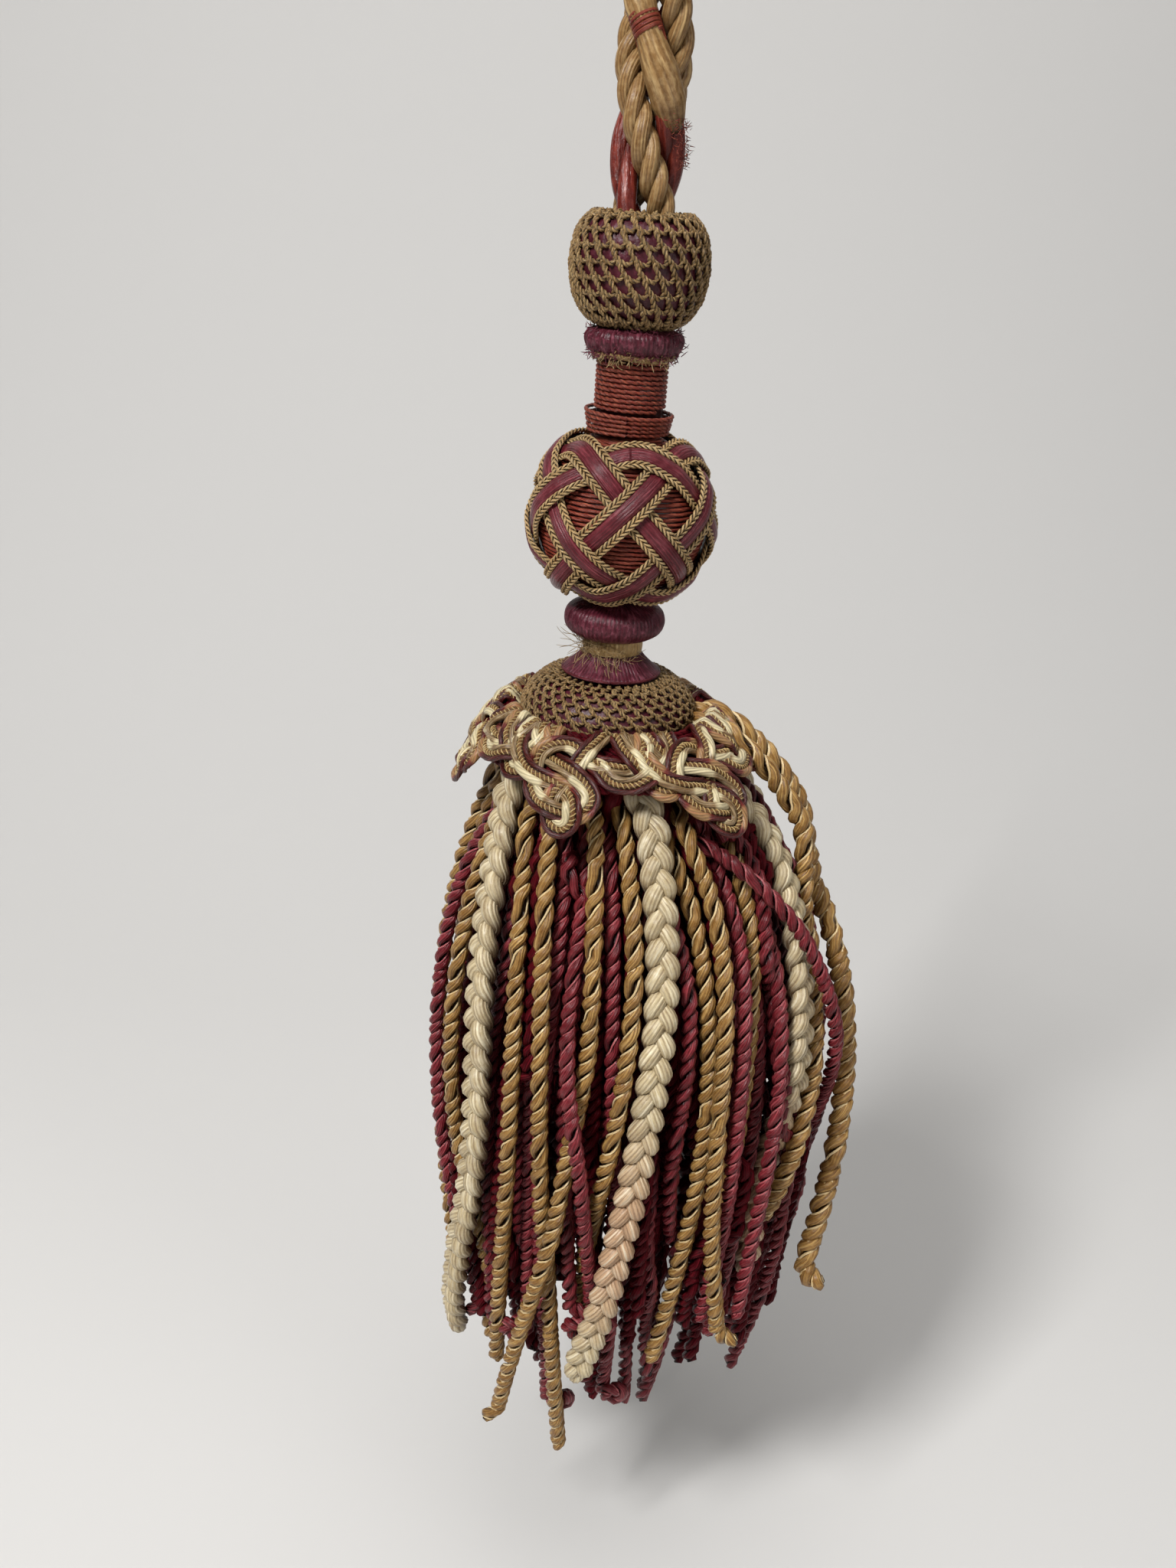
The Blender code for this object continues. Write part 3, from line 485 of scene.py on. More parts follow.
def thread(name, colour, light, dark, lines=10.0, wobble=0.4, streaks=2.2, groove=0.5, patch=60.0, drift=0.4,
           lint=0.1, rough=0.34, gloss=0.3, sheen=0.05, coat=0.0, bump=0.00014, deep=0.95, mark=None):
    """A thread finish: dyed, streaked along its yarns with painted highlights, dark with painted shade in its
    grooves and between its plies, and lightly linted.
    """
    material = bpy.data.materials.new(name)
    material.use_nodes = True
    tree = material.node_tree
    shader = tree.nodes["Principled BSDF"]

    def mixed(share, first, second):
        return add(tree, "ShaderNodeMix", {"Factor": share, 6: first, 7: second}, data_type="RGBA").outputs[2]

    dyed = group_in(tree, "dye drift", colour=colour, light=light, dark=dark, patch=patch,
                    drift=drift).outputs[0]
    if mark:
        dyed = mark(tree, dyed)
    yarn = group_in(tree, "yarn lines", lines=lines, wobble=wobble, streaks=streaks).outputs
    # Painted shade: the yarn grooves and the stretches between streaks are mixed towards the dark tone.
    # Painted highlight: the streaks are mixed towards the light tone.
    dull = sums(tree, "SUBTRACT", 1.0, yarn["Streak"])
    dull = sums(tree, "MULTIPLY", dull, 0.7 * groove)
    shade = sums(tree, "MULTIPLY_ADD", yarn["Groove"], 0.7 * groove, dull, clamp=True)
    glint = sums(tree, "MULTIPLY", sums(tree, "MULTIPLY_ADD", yarn["Streak"], 2.2, -1.25, clamp=True), 0.55)
    streaked = mixed(glint, mixed(shade, dyed, dark), light)
    fluff = group_in(tree, "lint", amount=lint).outputs
    linted = mixed(fluff["Mask"], streaked, light)
    # Painted shade: the hollow between plies, where the share of the way out from the middle is small, is
    # mixed towards a near-black tone.
    outer = add(tree, "ShaderNodeAttribute", attribute_name="outer").outputs["Fac"]
    hollow_shade_share = add(tree, "ShaderNodeMapRange", {"Value": outer, "From Min": 0.42, "From Max": 0.88,
                                            "To Min": deep, "To Max": 0.0},
               interpolation_type="SMOOTHSTEP").outputs[0]
    hollow_shade_colour = tuple(0.3 * c for c in dark[:3]) + (1.0,)
    tree.links.new(mixed(hollow_shade_share, linted, hollow_shade_colour), shader.inputs["Base Color"])
    worn = sums(tree, "MULTIPLY_ADD", fluff["Height"], 0.25, rough - 0.12)
    tree.links.new(worn, shader.inputs["Roughness"])
    height = sums(tree, "MULTIPLY_ADD", yarn["Streak"], 0.8, sums(tree, "MULTIPLY", yarn["Height"], 0.7))
    height = sums(tree, "MULTIPLY_ADD", fluff["Height"], 0.4, height)
    raised = add(tree, "ShaderNodeBump", {"Strength": 0.9, "Distance": bump, "Height": height})
    tree.links.new(raised.outputs[0], shader.inputs["Normal"])
    shader.inputs["Specular IOR Level"].default_value = gloss
    shader.inputs["Sheen Weight"].default_value = sheen
    shader.inputs["Sheen Roughness"].default_value = 0.4
    shader.inputs["Sheen Tint"].default_value = light
    shader.inputs["Coat Weight"].default_value = coat
    shader.inputs["Coat Roughness"].default_value = 0.3
    return material

# %% [markdown]
# ## The finishes of this tassel
# Each finish is a main dye, its lightest and its darkest tone, and how fine and how glossy the thread is. The
# lightest tone also serves as painted highlight on the streaks, and the darkest as painted shade in grooves
# and hollows. The dyes are uneven where the real ones have changed with age: wrapped yarns show paler where
# they are fat, and the middle plait has a pink stain low down. Such marks are laid over the dye before the
# streaks. The plaits also get brown painted shade where a strand goes under the others.

# %% Marks on the dye
def thicker_is(colour, low, high):
    """A change of the dye where the thread swells, between two shares of its full thickness."""
    def mark(tree, dyed):
        thick = add(tree, "ShaderNodeAttribute", attribute_name="thick").outputs["Fac"]
        share = add(tree, "ShaderNodeMapRange", {"Value": thick, "From Min": low, "From Max": high},
                    interpolation_type="SMOOTHSTEP").outputs[0]
        return add(tree, "ShaderNodeMix", {"Factor": share, 6: dyed, 7: colour}, data_type="RGBA").outputs[2]
    return mark


def stained_at(colour, height, reach, left):
    """A soft stain round one height, which fades out at the left of the tassel."""
    def mark(tree, dyed):
        where = add(tree, "ShaderNodeTexCoord").outputs["Object"]
        parts = add(tree, "ShaderNodeSeparateXYZ", {0: where}).outputs
        off = sums(tree, "ABSOLUTE", sums(tree, "SUBTRACT", parts["Z"], height))
        near = add(tree, "ShaderNodeMapRange", {"Value": off, "From Min": 0.3 * reach, "From Max": reach,
                                                "To Min": 0.8, "To Max": 0.0}).outputs[0]
        inside = add(tree, "ShaderNodeMapRange", {"Value": parts["X"], "From Min": left,
                                                  "From Max": left + 0.008}).outputs[0]
        share = sums(tree, "MULTIPLY", near, inside)
        return add(tree, "ShaderNodeMix", {"Factor": share, 6: dyed, 7: colour}, data_type="RGBA").outputs[2]
    return mark


def plait_stain_and_shade(tree, dyed):
    """A pink stain low on the middle plait, and brown painted shade where a strand goes under the others."""
    lower = stained_at(rgb(200, 154, 118), -0.341, 0.04, -0.026)(tree, dyed)
    # Painted shade: where a strand is thin, going under the others, it is mixed towards brown.
    thick = add(tree, "ShaderNodeAttribute", attribute_name="thick").outputs["Fac"]
    under = add(tree, "ShaderNodeMapRange", {"Value": thick, "From Min": 0.7, "From Max": 0.9,
                                             "To Min": 0.92, "To Max": 0.0}).outputs[0]
    return add(tree, "ShaderNodeMix", {"Factor": under, 6: lower, 7: rgb(94, 66, 38)},
               data_type="RGBA").outputs[2]

# %% Finishes of the cords and plaits
GOLD = thread("gold cord", rgb(150, 106, 50), rgb(215, 177, 110), rgb(54, 24, 7))
# The highlight yarns are real thin glossy yarns, dyed near the cords' highlight tone as painted highlight.
GOLD_SHINE = thread("gold highlight yarn", rgb(232, 202, 144), rgb(244, 229, 193), rgb(171, 126, 69), lines=3,
                    rough=0.2, coat=0.3, deep=0.0, groove=0.1)
BURGUNDY = thread("burgundy cord", rgb(116, 26, 34), rgb(173, 73, 79), rgb(31, 4, 7), lint=0.05)
BURGUNDY_SHINE = thread("burgundy highlight yarn", rgb(175, 76, 83), rgb(214, 139, 136), rgb(94, 24, 32),
                        lines=3, rough=0.2, coat=0.3, deep=0.0, groove=0.1)
# A darker, duller copy of the burgundy cord: painted shade for cords deep in the skirt, in its core and under
# the trim.
INNER = thread("shaded burgundy cord", rgb(84, 11, 20), rgb(116, 28, 37), rgb(20, 2, 4), lint=0.03, sheen=0.0,
               gloss=0.06)
ROPE_GOLD = thread("rope floss", rgb(155, 117, 70), rgb(201, 171, 121), rgb(70, 38, 15), lines=14, patch=90,
                   drift=0.5)
ROPE_RED = thread("rope satin", rgb(101, 29, 22), rgb(158, 72, 56), rgb(40, 7, 7), groove=0.35, rough=0.28)
CREAM = thread("cream floss", rgb(211, 192, 149), rgb(246, 236, 208), rgb(92, 60, 32), lines=13, groove=0.55,
               drift=0.35, mark=plait_stain_and_shade)

# %% Finishes of the head
PLUM = thread("plum satin", rgb(98, 30, 38), rgb(146, 68, 76), rgb(38, 7, 13), lines=12, groove=0.4,
              lint=0.04, rough=0.3, streaks=3.0)
FLOSS = thread("plum floss", rgb(88, 28, 40), rgb(142, 76, 90), rgb(28, 5, 12), lines=70, groove=0.5,
               lint=0.04, rough=0.3, streaks=14.0)
# A darker copy of the plum satin: painted shade for the satin under the nets.
NET_SATIN = thread("shaded plum satin", rgb(80, 28, 38), rgb(98, 42, 54), rgb(28, 9, 13), lines=40,
                   groove=0.3, lint=0.04, streaks=10.0)
NET = thread("net cord", rgb(158, 119, 72), rgb(220, 190, 135), rgb(26, 12, 4), lines=2, wobble=0.1,
             groove=0.85)
STRAP_GOLD = thread("strap cord", rgb(203, 164, 108), rgb(234, 210, 162), rgb(49, 22, 10), lines=4,
                    groove=0.25, deep=0.97)
RED = thread("red winding", rgb(134, 48, 36), rgb(194, 112, 84), rgb(46, 6, 6), lines=2, wobble=0.1,
             groove=0.5)
# A near-black red for the cores under the windings: painted shade between the turns.
SHADED_RED_CORE = thread("shaded red winding", rgb(42, 8, 9), rgb(60, 16, 16), rgb(12, 3, 3), lines=20)
BAND = thread("gold band floss", rgb(184, 146, 88), rgb(232, 206, 150), rgb(100, 66, 30), lines=40,
              groove=0.4, streaks=12.0)
FLUFF_PLUM = thread("loose plum floss", rgb(136, 50, 70), rgb(182, 108, 124), rgb(80, 24, 38), lines=3)
FLUFF_RED = thread("loose red floss", rgb(176, 78, 60), rgb(214, 134, 108), rgb(104, 36, 28), lines=3)
FLUFF_TAN = thread("loose tan floss", rgb(206, 170, 116), rgb(240, 218, 172), rgb(140, 104, 60), lines=3)

# %% Finishes of the trim
TRIM_CREAM = thread("trim cream", rgb(150, 115, 70), rgb(228, 208, 167), rgb(51, 23, 10), lines=7,
                    lint=0.05, rough=0.26, coat=0.25, mark=thicker_is(rgb(226, 211, 168), 0.78, 0.96))
TRIM_BROWN = thread("trim brown", rgb(106, 70, 37), rgb(160, 120, 69), rgb(36, 16, 7), lines=5)
TRIM_EDGE = thread("trim crinkled yarn", rgb(204, 172, 110), rgb(242, 222, 170), rgb(120, 84, 44), lines=3,
                   rough=0.28, deep=0.0, groove=0.15)
# Thin dark yarns beside the middle cord of the trim, which also stand in for the shade in the grooves between
# its cords: partly painted shade.
TRIM_DARK = thread("trim dark yarn", rgb(40, 20, 14), rgb(66, 36, 26), rgb(14, 5, 4), lines=4, lint=0.03)
TRIM_RED = thread("trim burgundy", rgb(106, 32, 29), rgb(163, 77, 66), rgb(32, 5, 5), lines=7, lint=0.05,
                  rough=0.28, coat=0.15, mark=thicker_is(rgb(172, 134, 88), 0.78, 0.94))
print("finishes:", len(bpy.data.materials))

# %% [markdown]
# ## The rope
# Two cords, one gold and one burgundy, are laid up together, folded over into the loop at the top, and laid
# up again, so four strands come down to the small ball. The routes are worked out as for the solids: a helix
# up, a loop and a helix down, drawn smooth. A drawn curve would do, but a helix keeps the four strands a
# strand apart. The real length of each cord is printed.

# %% Rope
STRAND_CIRCLE = 5.75
GOLD_CORD = 3.55
BURGUNDY_CORD = 3.4
ROPE_PITCH = 84.0
ROPE_FRONT = -11.6
ROPE_FOOT = 3.0
LAY_TOP = -52.0
LOOP_WIDTH = 28.0
LOOP_HEIGHT = 30.0
ROPE_STEP = 2.5
PLY_PITCH = 19.8


def strand_azimuth(depth):
    return (depth - ROPE_FRONT) * 360.0 / ROPE_PITCH


def rope_route(first, side):
    """One cord of the rope: up one side of the lay, round the loop and down the other side."""
    depths = np.arange(ROPE_FOOT, LAY_TOP, -3.0)
    up = [around(STRAND_CIRCLE, strand_azimuth(d) + first, d) for d in depths]
    down = [around(STRAND_CIRCLE, strand_azimuth(d) + first + 180.0, d) for d in depths[::-1]]
    leg = strand_azimuth(LAY_TOP) - 45.0
    outward = Vector(around(1.0, leg, -RIM)) / MM
    across = Vector(around(1.0, leg + 90.0, -RIM)) / MM
    foot = STRAND_CIRCLE * math.cos(rad(45.0))
    loop = []
    for turn in np.linspace(0.12, 0.88, 15) * math.pi:
        spread = math.cos(turn) * (foot + (LOOP_WIDTH - foot) * math.sin(turn))
        rise = LOOP_HEIGHT * math.sin(turn)
        normal = outward * math.cos(turn) + Vector((0.0, 0.0, math.sin(turn)))
        aside = side * (across * math.cos(turn) + normal.normalized() * math.sin(turn)) * foot
        loop.append((outward * spread + aside + Vector((0.0, 0.0, rise - RIM - LAY_TOP))) * MM)
    points = resampled(np.array(up + [tuple(p) for p in loop] + down), 4.0 * MM)
    return resampled(smoothed(points, 4), ROPE_STEP * MM)

# %% Rope pieces
def rope_cord(name, route, material, slot, node, radius, **sizes):
    piece = grow(name, [rounded(route, 3)], material, **sizes)
    finish_piece(piece, slot, node)
    print(f"{name}: {length_of(route) * 1000:.0f} mm long")


rope_cord("rope_gold_cord", rope_route(0.0, 1), ROPE_GOLD, "gold_cord", "rope_gold", GOLD_CORD,
          plies=3, ply_radius=1.85 * MM, lay_radius=1.78 * MM, pitch=PLY_PITCH * MM, step=0.9 * MM, sides=24,
          yarns=12, yarn_depth=0.03, yarn_twist=-30.0, uneven=0.06, wander=0.1)
rope_cord("rope_burgundy_cord", rope_route(-90.0, -1), ROPE_RED, "burgundy_cord", "rope_burgundy",
          BURGUNDY_CORD, plies=2, ply_radius=2.3 * MM, lay_radius=1.1 * MM, pitch=46.0 * MM, step=0.9 * MM,
          sides=24, yarns=12, yarn_depth=0.03, yarn_twist=-30.0, uneven=0.05, wander=0.1)

# %% [markdown]
# ## Wear on the rope
# One burgundy strand has lost its wrapping. Its tan floss bulges out in two lobes with a few turns of red
# left between them, and red fibres stand up where the wrapping ends. A hair system would be quicker to
# comb, but a loose fibre as a thin line, which sets out from a place and bends a little at every step,
# ends as a plain mesh like every other piece.

# %% Worn strand
WORN_SHAPE = [(-50, 0.3), (-47, 0.85), (-42, 0.92), (-38, 0.72), (-35, 0.8), (-29, 1.0), (-23, 0.96),
              (-19, 0.7), (-16.5, 0.3)]
WORN_RADIUS = 3.95


def worn_route(start, end, step=1.0):
    """The middle of the worn strand between two depths."""
    return np.array([around(STRAND_CIRCLE + 0.2, strand_azimuth(d) + 90.0, d)
                     for d in np.arange(start, end, step)])

# %% Loose fibres
def fibres(seed, places, count, length, curl, spread):
    """Routes of loose fibres. Each place is a start and a direction."""
    chance = random.Random(seed)

    def any_way(size):
        return Vector([chance.gauss(0.0, size) for _ in range(3)])

    routes = []
    for _ in range(count):
        start, heading = chance.choice(places)
        way = (Vector(heading).normalized() + any_way(spread)).normalized()
        point = Vector(start) + any_way(0.4 * MM)
        bend = any_way(curl)
        stride = length * chance.uniform(0.5, 1.2) / 9.0 * MM
        row = [point.copy()]
        for _ in range(9):
            way = (way + bend + any_way(curl * 0.5)).normalized()
            point = point + way * stride
            row.append(point.copy())
        routes.append(np.array(row))
    return routes


def loose(name, routes, material, slot, radius=0.075):
    piece = grow(name, routes, material, plies=1, ply_radius=radius * MM, lay_radius=0.0, step=0.7 * MM,
                 sides=4, yarns=1, yarn_depth=0.0, yarn_twist=0.0, uneven=0.3, wander=0.0, tip=2.0 * MM)
    return finish_piece(piece, slot)


def outward(radius, azimuths, depths, drop=0.0):
    """Starts on a ring with their directions: out from the axis, and down by drop."""
    return [(tuple(around(radius, a, d)), (math.sin(rad(a)), -math.cos(rad(a)), -drop))
            for a in azimuths for d in depths]

# %% Worn strand pieces
worn_line = worn_route(-50.0, -16.0)
worn_thick = [np.interp(-(worn_line[:, 2] / MM) - RIM, *zip(*WORN_SHAPE))]
worn_floss = grow("worn_floss", [worn_line], ROPE_GOLD, thick=worn_thick, plies=1,
                  ply_radius=WORN_RADIUS * MM, lay_radius=0.0, step=0.6 * MM, sides=40, yarns=20,
                  yarn_depth=0.03, yarn_twist=-25.0, uneven=0.1, wander=0.0)
finish_piece(worn_floss, "gold_floss")
binding = grow("rope_binding", [worn_route(-40.5, -36.2, 0.4)], RED, plies=2, ply_radius=0.5 * MM,
               lay_radius=2.95 * MM, pitch=1.9 * MM, step=0.07 * MM, sides=6, yarns=2, yarn_depth=0.1,
               yarn_twist=0.0, uneven=0.25, wander=0.05)
finish_piece(binding, "red_winding")
fuzz_places = [(tuple(p), (math.sin(rad(a)), -math.cos(rad(a)), -0.6))
               for p, a in [(around(STRAND_CIRCLE + 3.2, strand_azimuth(d) + 90.0 + turn, d),
                             strand_azimuth(d) + 90.0 + turn)
                            for d in np.arange(-20.0, -10.0, 0.6) for turn in (-34, -22, -10, 0, 10)]]
loose("rope_red_fuzz", fibres(3, fuzz_places, 150, 1.7, 0.6, 0.8), FLUFF_RED, "red_winding", 0.09)

# %% [markdown]
# ## Turned and covered pieces
# The head is turned wood covered in floss and satin. A Screw modifier could turn a profile, but it makes
# every step alike. Here a profile of radius and depth is turned round the axis in mesh code, and every
# second step stands a little proud, so that the threads laid over the wood are in the shape and not only
# in the finish.

# %% Turn a covered profile
def turned(name, profile, material, threads=120, ridge=0.12, wobble=0.0, seed=1):
    """A closed turned piece. Each thread is a ridge that runs down the profile."""
    chance = random.Random(seed)
    lift = [chance.uniform(-wobble, wobble) for _ in range(threads)]
    columns = threads * 2
    mesh = bpy.data.meshes.new(name)
    cage = bmesh.new()
    along = cage.verts.layers.float.new("along")
    facing = cage.verts.layers.float_vector.new("round")
    outer = cage.verts.layers.float.new("outer")
    rings = []
    for radius, depth in profile:
        if radius < 0.01:
            rings.append([cage.verts.new(around(0.0, 0.0, depth))])
            continue
        ring = []
        for k in range(columns):
            proud = (ridge if k % 2 else 0.0) + lift[k // 2]
            azimuth = 360.0 * k / columns
            point = cage.verts.new(around(radius + proud - ridge, azimuth, depth))
            point[along] = depth * MM
            point[outer] = 1.0
            point[facing] = Vector((math.cos(rad(azimuth)), math.sin(rad(azimuth)), 0.0))
            ring.append(point)
        rings.append(ring)
    for ring, after in zip(rings, rings[1:]):
        for k in range(columns):
            corners = [ring[k % len(ring)], ring[(k + 1) % len(ring)], after[(k + 1) % len(after)],
                       after[k % len(after)]]
            unique = list(dict.fromkeys(corners))
            if len(unique) > 2:
                cage.faces.new(unique)
    bmesh.ops.recalc_face_normals(cage, faces=cage.faces)
    for face in cage.faces:
        face.smooth = True
    cage.to_mesh(mesh)
    cage.free()
    mesh.materials.append(material)
    return add_object(name, mesh)

# %% Profiles under the nets
def inset(profile, distance):
    """The profile moved in towards the axis, square to itself."""
    moved = []
    for i, (radius, depth) in enumerate(profile):
        before = profile[max(i - 1, 0)]
        after = profile[min(i + 1, len(profile) - 1)]
        run, fall = after[0] - before[0], after[1] - before[1]
        size = math.hypot(run, fall)
        moved.append((radius - distance * fall / size, depth + distance * run / size))
    return moved


UPPER_NET = [(10.3, 0.7), (11.2, 0.0), (12.6, 0.5), (14.8, 2.9), (16.2, 7.2), (16.6, 12.4),
             (15.6, 18.4), (12.8, 23.2), (9.0, 25.2)]
LOWER_NET = [(12.9, 113.3), (17.2, 114.2), (21.2, 117.6), (23.3, 121.6), (22.9, 125.2)]
NET_THICK = 0.9


def smooth_profile(rows, per_span=4):
    return [tuple(p) for p in rounded([(r, d, 0.0) for r, d in rows], per_span)[:, :2]]

# %% Covered pieces of the head
# The moulds under the nets take the shaded plum satin, painted shade under the net.
upper = [(0.0, 6.4), (9.8, 6.4), (9.8, 2.0)] + smooth_profile(inset(UPPER_NET, NET_THICK))[3:] + [(0.0, 25.0)]
finish_piece(turned("upper_mould_satin", upper, NET_SATIN, 90), "plum_satin", "upper_mould")
lower = [(0.0, 113.2)] + smooth_profile(inset(LOWER_NET, NET_THICK)) + [(20.0, 128.0), (14.0, 128.3),
                                                                       (14.0, 153.0), (0.0, 153.0)]
finish_piece(turned("lower_mould_satin", lower, NET_SATIN, 110), "plum_satin", "lower_mould")
ring = smooth_profile([(5.0, 92.7), (10.4, 94.4), (12.6, 96.0), (13.25, 98.6), (12.4, 101.0), (10.0, 102.6)])
finish_piece(turned("floss_ring_cover", [(0.0, 92.7)] + ring + [(0.0, 102.9)], FLOSS, 150, 0.16, 0.05),
             "plum_satin", "floss_ring")
band = smooth_profile([(7.7, 103.2), (7.85, 105.2), (7.7, 107.0)])
finish_piece(turned("gold_band_floss", [(0.0, 103.0)] + band + [(0.0, 107.3)], BAND, 70, wobble=0.1),
             "gold_floss", "gold_band")
disc = smooth_profile([(7.9, 107.3), (9.2, 108.8), (11.4, 110.8), (12.85, 111.9), (12.85, 112.6),
                       (11.8, 112.9)])
disc_cover = turned("disc_cover", [(0.0, 107.3)] + disc + [(0.0, 112.9)], FLOSS, 150, 0.16, 0.04)
disc_edge = grow("disc_edge", [np.array([around(12.85, a, 112.2) for a in range(0, 360, 4)])], PLUM,
                 closed=True, plies=1, ply_radius=0.42 * MM, lay_radius=0.0, step=0.7 * MM, sides=8, yarns=2,
                 yarn_depth=0.1, yarn_twist=900.0, uneven=0.1, wander=0.0)
finish_piece(joined("flared_disc_cover", [disc_cover, disc_edge]), "plum_satin", "flared_disc")

# %% [markdown]
# ## The nets
# Each net is knotted from one fine twisted cord. In every row the cord swings down, loops back on itself
# and goes on, and the loops catch the row above. A pattern on a plain ball would show no openings from
# the side, so the cord is real: a looped wave laid on the profile, with a small rise and fall so that it
# passes over itself.

# %% Nets
def profile_point(profile, share):
    """Radius, depth, and the outward direction there, at a share of the way down a profile."""
    rows = np.array(profile, float)
    gone = np.concatenate([[0.0], np.cumsum(np.linalg.norm(np.diff(rows, axis=0), axis=1))])
    at = share * gone[-1]
    radius, depth = np.interp(at, gone, rows[:, 0]), np.interp(at, gone, rows[:, 1])
    step = 0.4
    ahead = [np.interp(at + step, gone, rows[:, k]) for k in (0, 1)]
    behind = [np.interp(at - step, gone, rows[:, k]) for k in (0, 1)]
    run, fall = ahead[0] - behind[0], ahead[1] - behind[1]
    size = math.hypot(run, fall)
    return radius, depth, fall / size, -run / size


def net_rows(profile, rows, columns, slant=0.45, swing=0.6, loop=0.25, per_loop=16):
    """Closed routes, one for each row of the net."""
    routes = []
    for row in range(rows):
        route = []
        for i in range(columns * per_loop):
            turn = 2.0 * math.pi * i / per_loop
            down = -math.cos(turn) * swing
            ahead = i / per_loop - loop * math.sin(turn)
            share = (row + 0.5 + down) / rows
            azimuth = 360.0 / columns * (ahead + slant * down + 0.5 * row)
            radius, depth, out, up = profile_point(profile, min(max(share, 0.0), 1.0))
            proud = 0.28 * math.sin(turn + 0.6)
            route.append(around(radius - 0.25 + out * proud, azimuth, depth - up * proud))
        routes.append(np.array(route))
    return routes


def edge_rings(rows):
    """Level rings at (radius, depth), each a little uneven as it goes round."""
    return [np.array([around(radius + 0.25 * math.sin(rad(5 * a + 70 * k)), a,
                             depth + 0.3 * math.sin(rad(7 * a + 90 * k))) for a in range(0, 360, 3)])
            for k, (radius, depth) in enumerate(rows)]

# %% Net pieces
def net_piece(name, profile, rows, columns, thick, edges, node):
    routes = net_rows(smooth_profile(profile), rows, columns) + edge_rings(edges)
    piece = grow(name, routes, NET, closed=True, plies=1, ply_radius=thick * MM, lay_radius=0.0,
                 step=0.5 * MM, sides=8, yarns=2, yarn_depth=0.26, yarn_twist=2.0 * math.pi / 0.0026,
                 uneven=0.1, wander=0.0)
    return finish_piece(piece, "net_cord", node)


net_piece("upper_net_cord", UPPER_NET, 9, 25, 0.51, [(11.6, 0.5), (9.6, 24.8)], "upper_net")
net_piece("lower_net_cord", LOWER_NET, 8, 34, 0.45, [(23.2, 124.4), (23.0, 125.6)], "lower_net")

# %% [markdown]
# ## Windings
# The neck and the large ball are wound with one cord laid turn against turn. Stacked rings would look much
# the same, but a winding is one helix on the profile: the route goes once round for each pitch that it comes
# down. A core in a near-black red fills the inside, as painted shade between the turns.

# %% Windings
def winding(profile, pitch, per_turn=48):
    """A route that winds down a profile of (radius, depth) with turns a pitch apart."""
    rows = np.array(profile, float)
    gone = np.concatenate([[0.0], np.cumsum(np.linalg.norm(np.diff(rows, axis=0), axis=1))])
    count = int(gone[-1] / pitch * per_turn)
    at = np.linspace(0.0, gone[-1], count)
    radii = np.interp(at, gone, rows[:, 0])
    depths = np.interp(at, gone, rows[:, 1])
    return np.array([around(radii[k], 360.0 * k / per_turn, depths[k]) for k in range(count)])

# %% Neck and its flange
neck_core = turned("neck_core", [(0.0, 32.6), (8.3, 32.6), (8.3, 50.0), (0.0, 50.2)], SHADED_RED_CORE, 40, 0.0)
neck_cord = grow("neck_cord", [winding([(8.5, 33.1), (8.5, 44.8)], 1.15)], RED, plies=1,
                 ply_radius=0.49 * MM, lay_radius=0.0, step=0.8 * MM, sides=8, yarns=2, yarn_depth=0.12,
                 yarn_twist=2.0 * math.pi / 0.004, wander=0.0)
flange = []
for k in range(5):
    tilt = (0.45, 0.25, 0.3, 0.05, 0.0)[k]
    flange.append(np.array([around(10.75 - 0.22 * k, a, 45.75 + 1.08 * k + tilt * math.cos(rad(a - 60.0)))
                            for a in range(0, 360, 6)]))
flange_cord = grow("flange_cord", flange, RED, closed=True, plies=1, ply_radius=0.5 * MM, lay_radius=0.0,
                   step=0.8 * MM, sides=8, yarns=2, yarn_depth=0.12, yarn_twist=2.0 * math.pi / 0.004,
                   wander=0.0)
finish_piece(joined("neck_winding_cord", [neck_core, neck_cord, flange_cord]), "red_winding", "neck_winding")

# %% Large ball
BALL_RADIUS = 21.8
BALL_DEPTH = 71.5
flat = math.degrees(math.asin(20.9 / 21.8))
ball_rows = [((BALL_RADIUS - 0.55) * math.cos(rad(a)), BALL_DEPTH - (BALL_RADIUS - 0.55) * math.sin(rad(a)))
             for a in np.linspace(flat, -flat, 60)]
core_rows = [(r * 0.985, BALL_DEPTH + (d - BALL_DEPTH) * 0.985) for r, d in ball_rows]
core_rows = [(0.0, core_rows[0][1])] + core_rows + [(0.0, core_rows[-1][1])]
ball_core = turned("ball_core", core_rows, SHADED_RED_CORE, 60, 0.0)
ball_cord = grow("ball_cord", [winding(ball_rows, 1.2, 72)], RED, plies=1, ply_radius=0.5 * MM,
                 lay_radius=0.0, step=1.2 * MM, sides=8, yarns=2, yarn_depth=0.1, yarn_twist=600.0,
                 wander=0.0)
finish_piece(joined("ball_winding", [ball_core, ball_cord]), "red_winding", "ball")

# %% [markdown]
# ## The floss collar
# Under the small ball sits a collar of cut plum floss, worn to a low uneven cushion, with a pale band at
# its foot. It is turned like the moulds, with threads that differ more in height, and its loose ends are
# added after it.

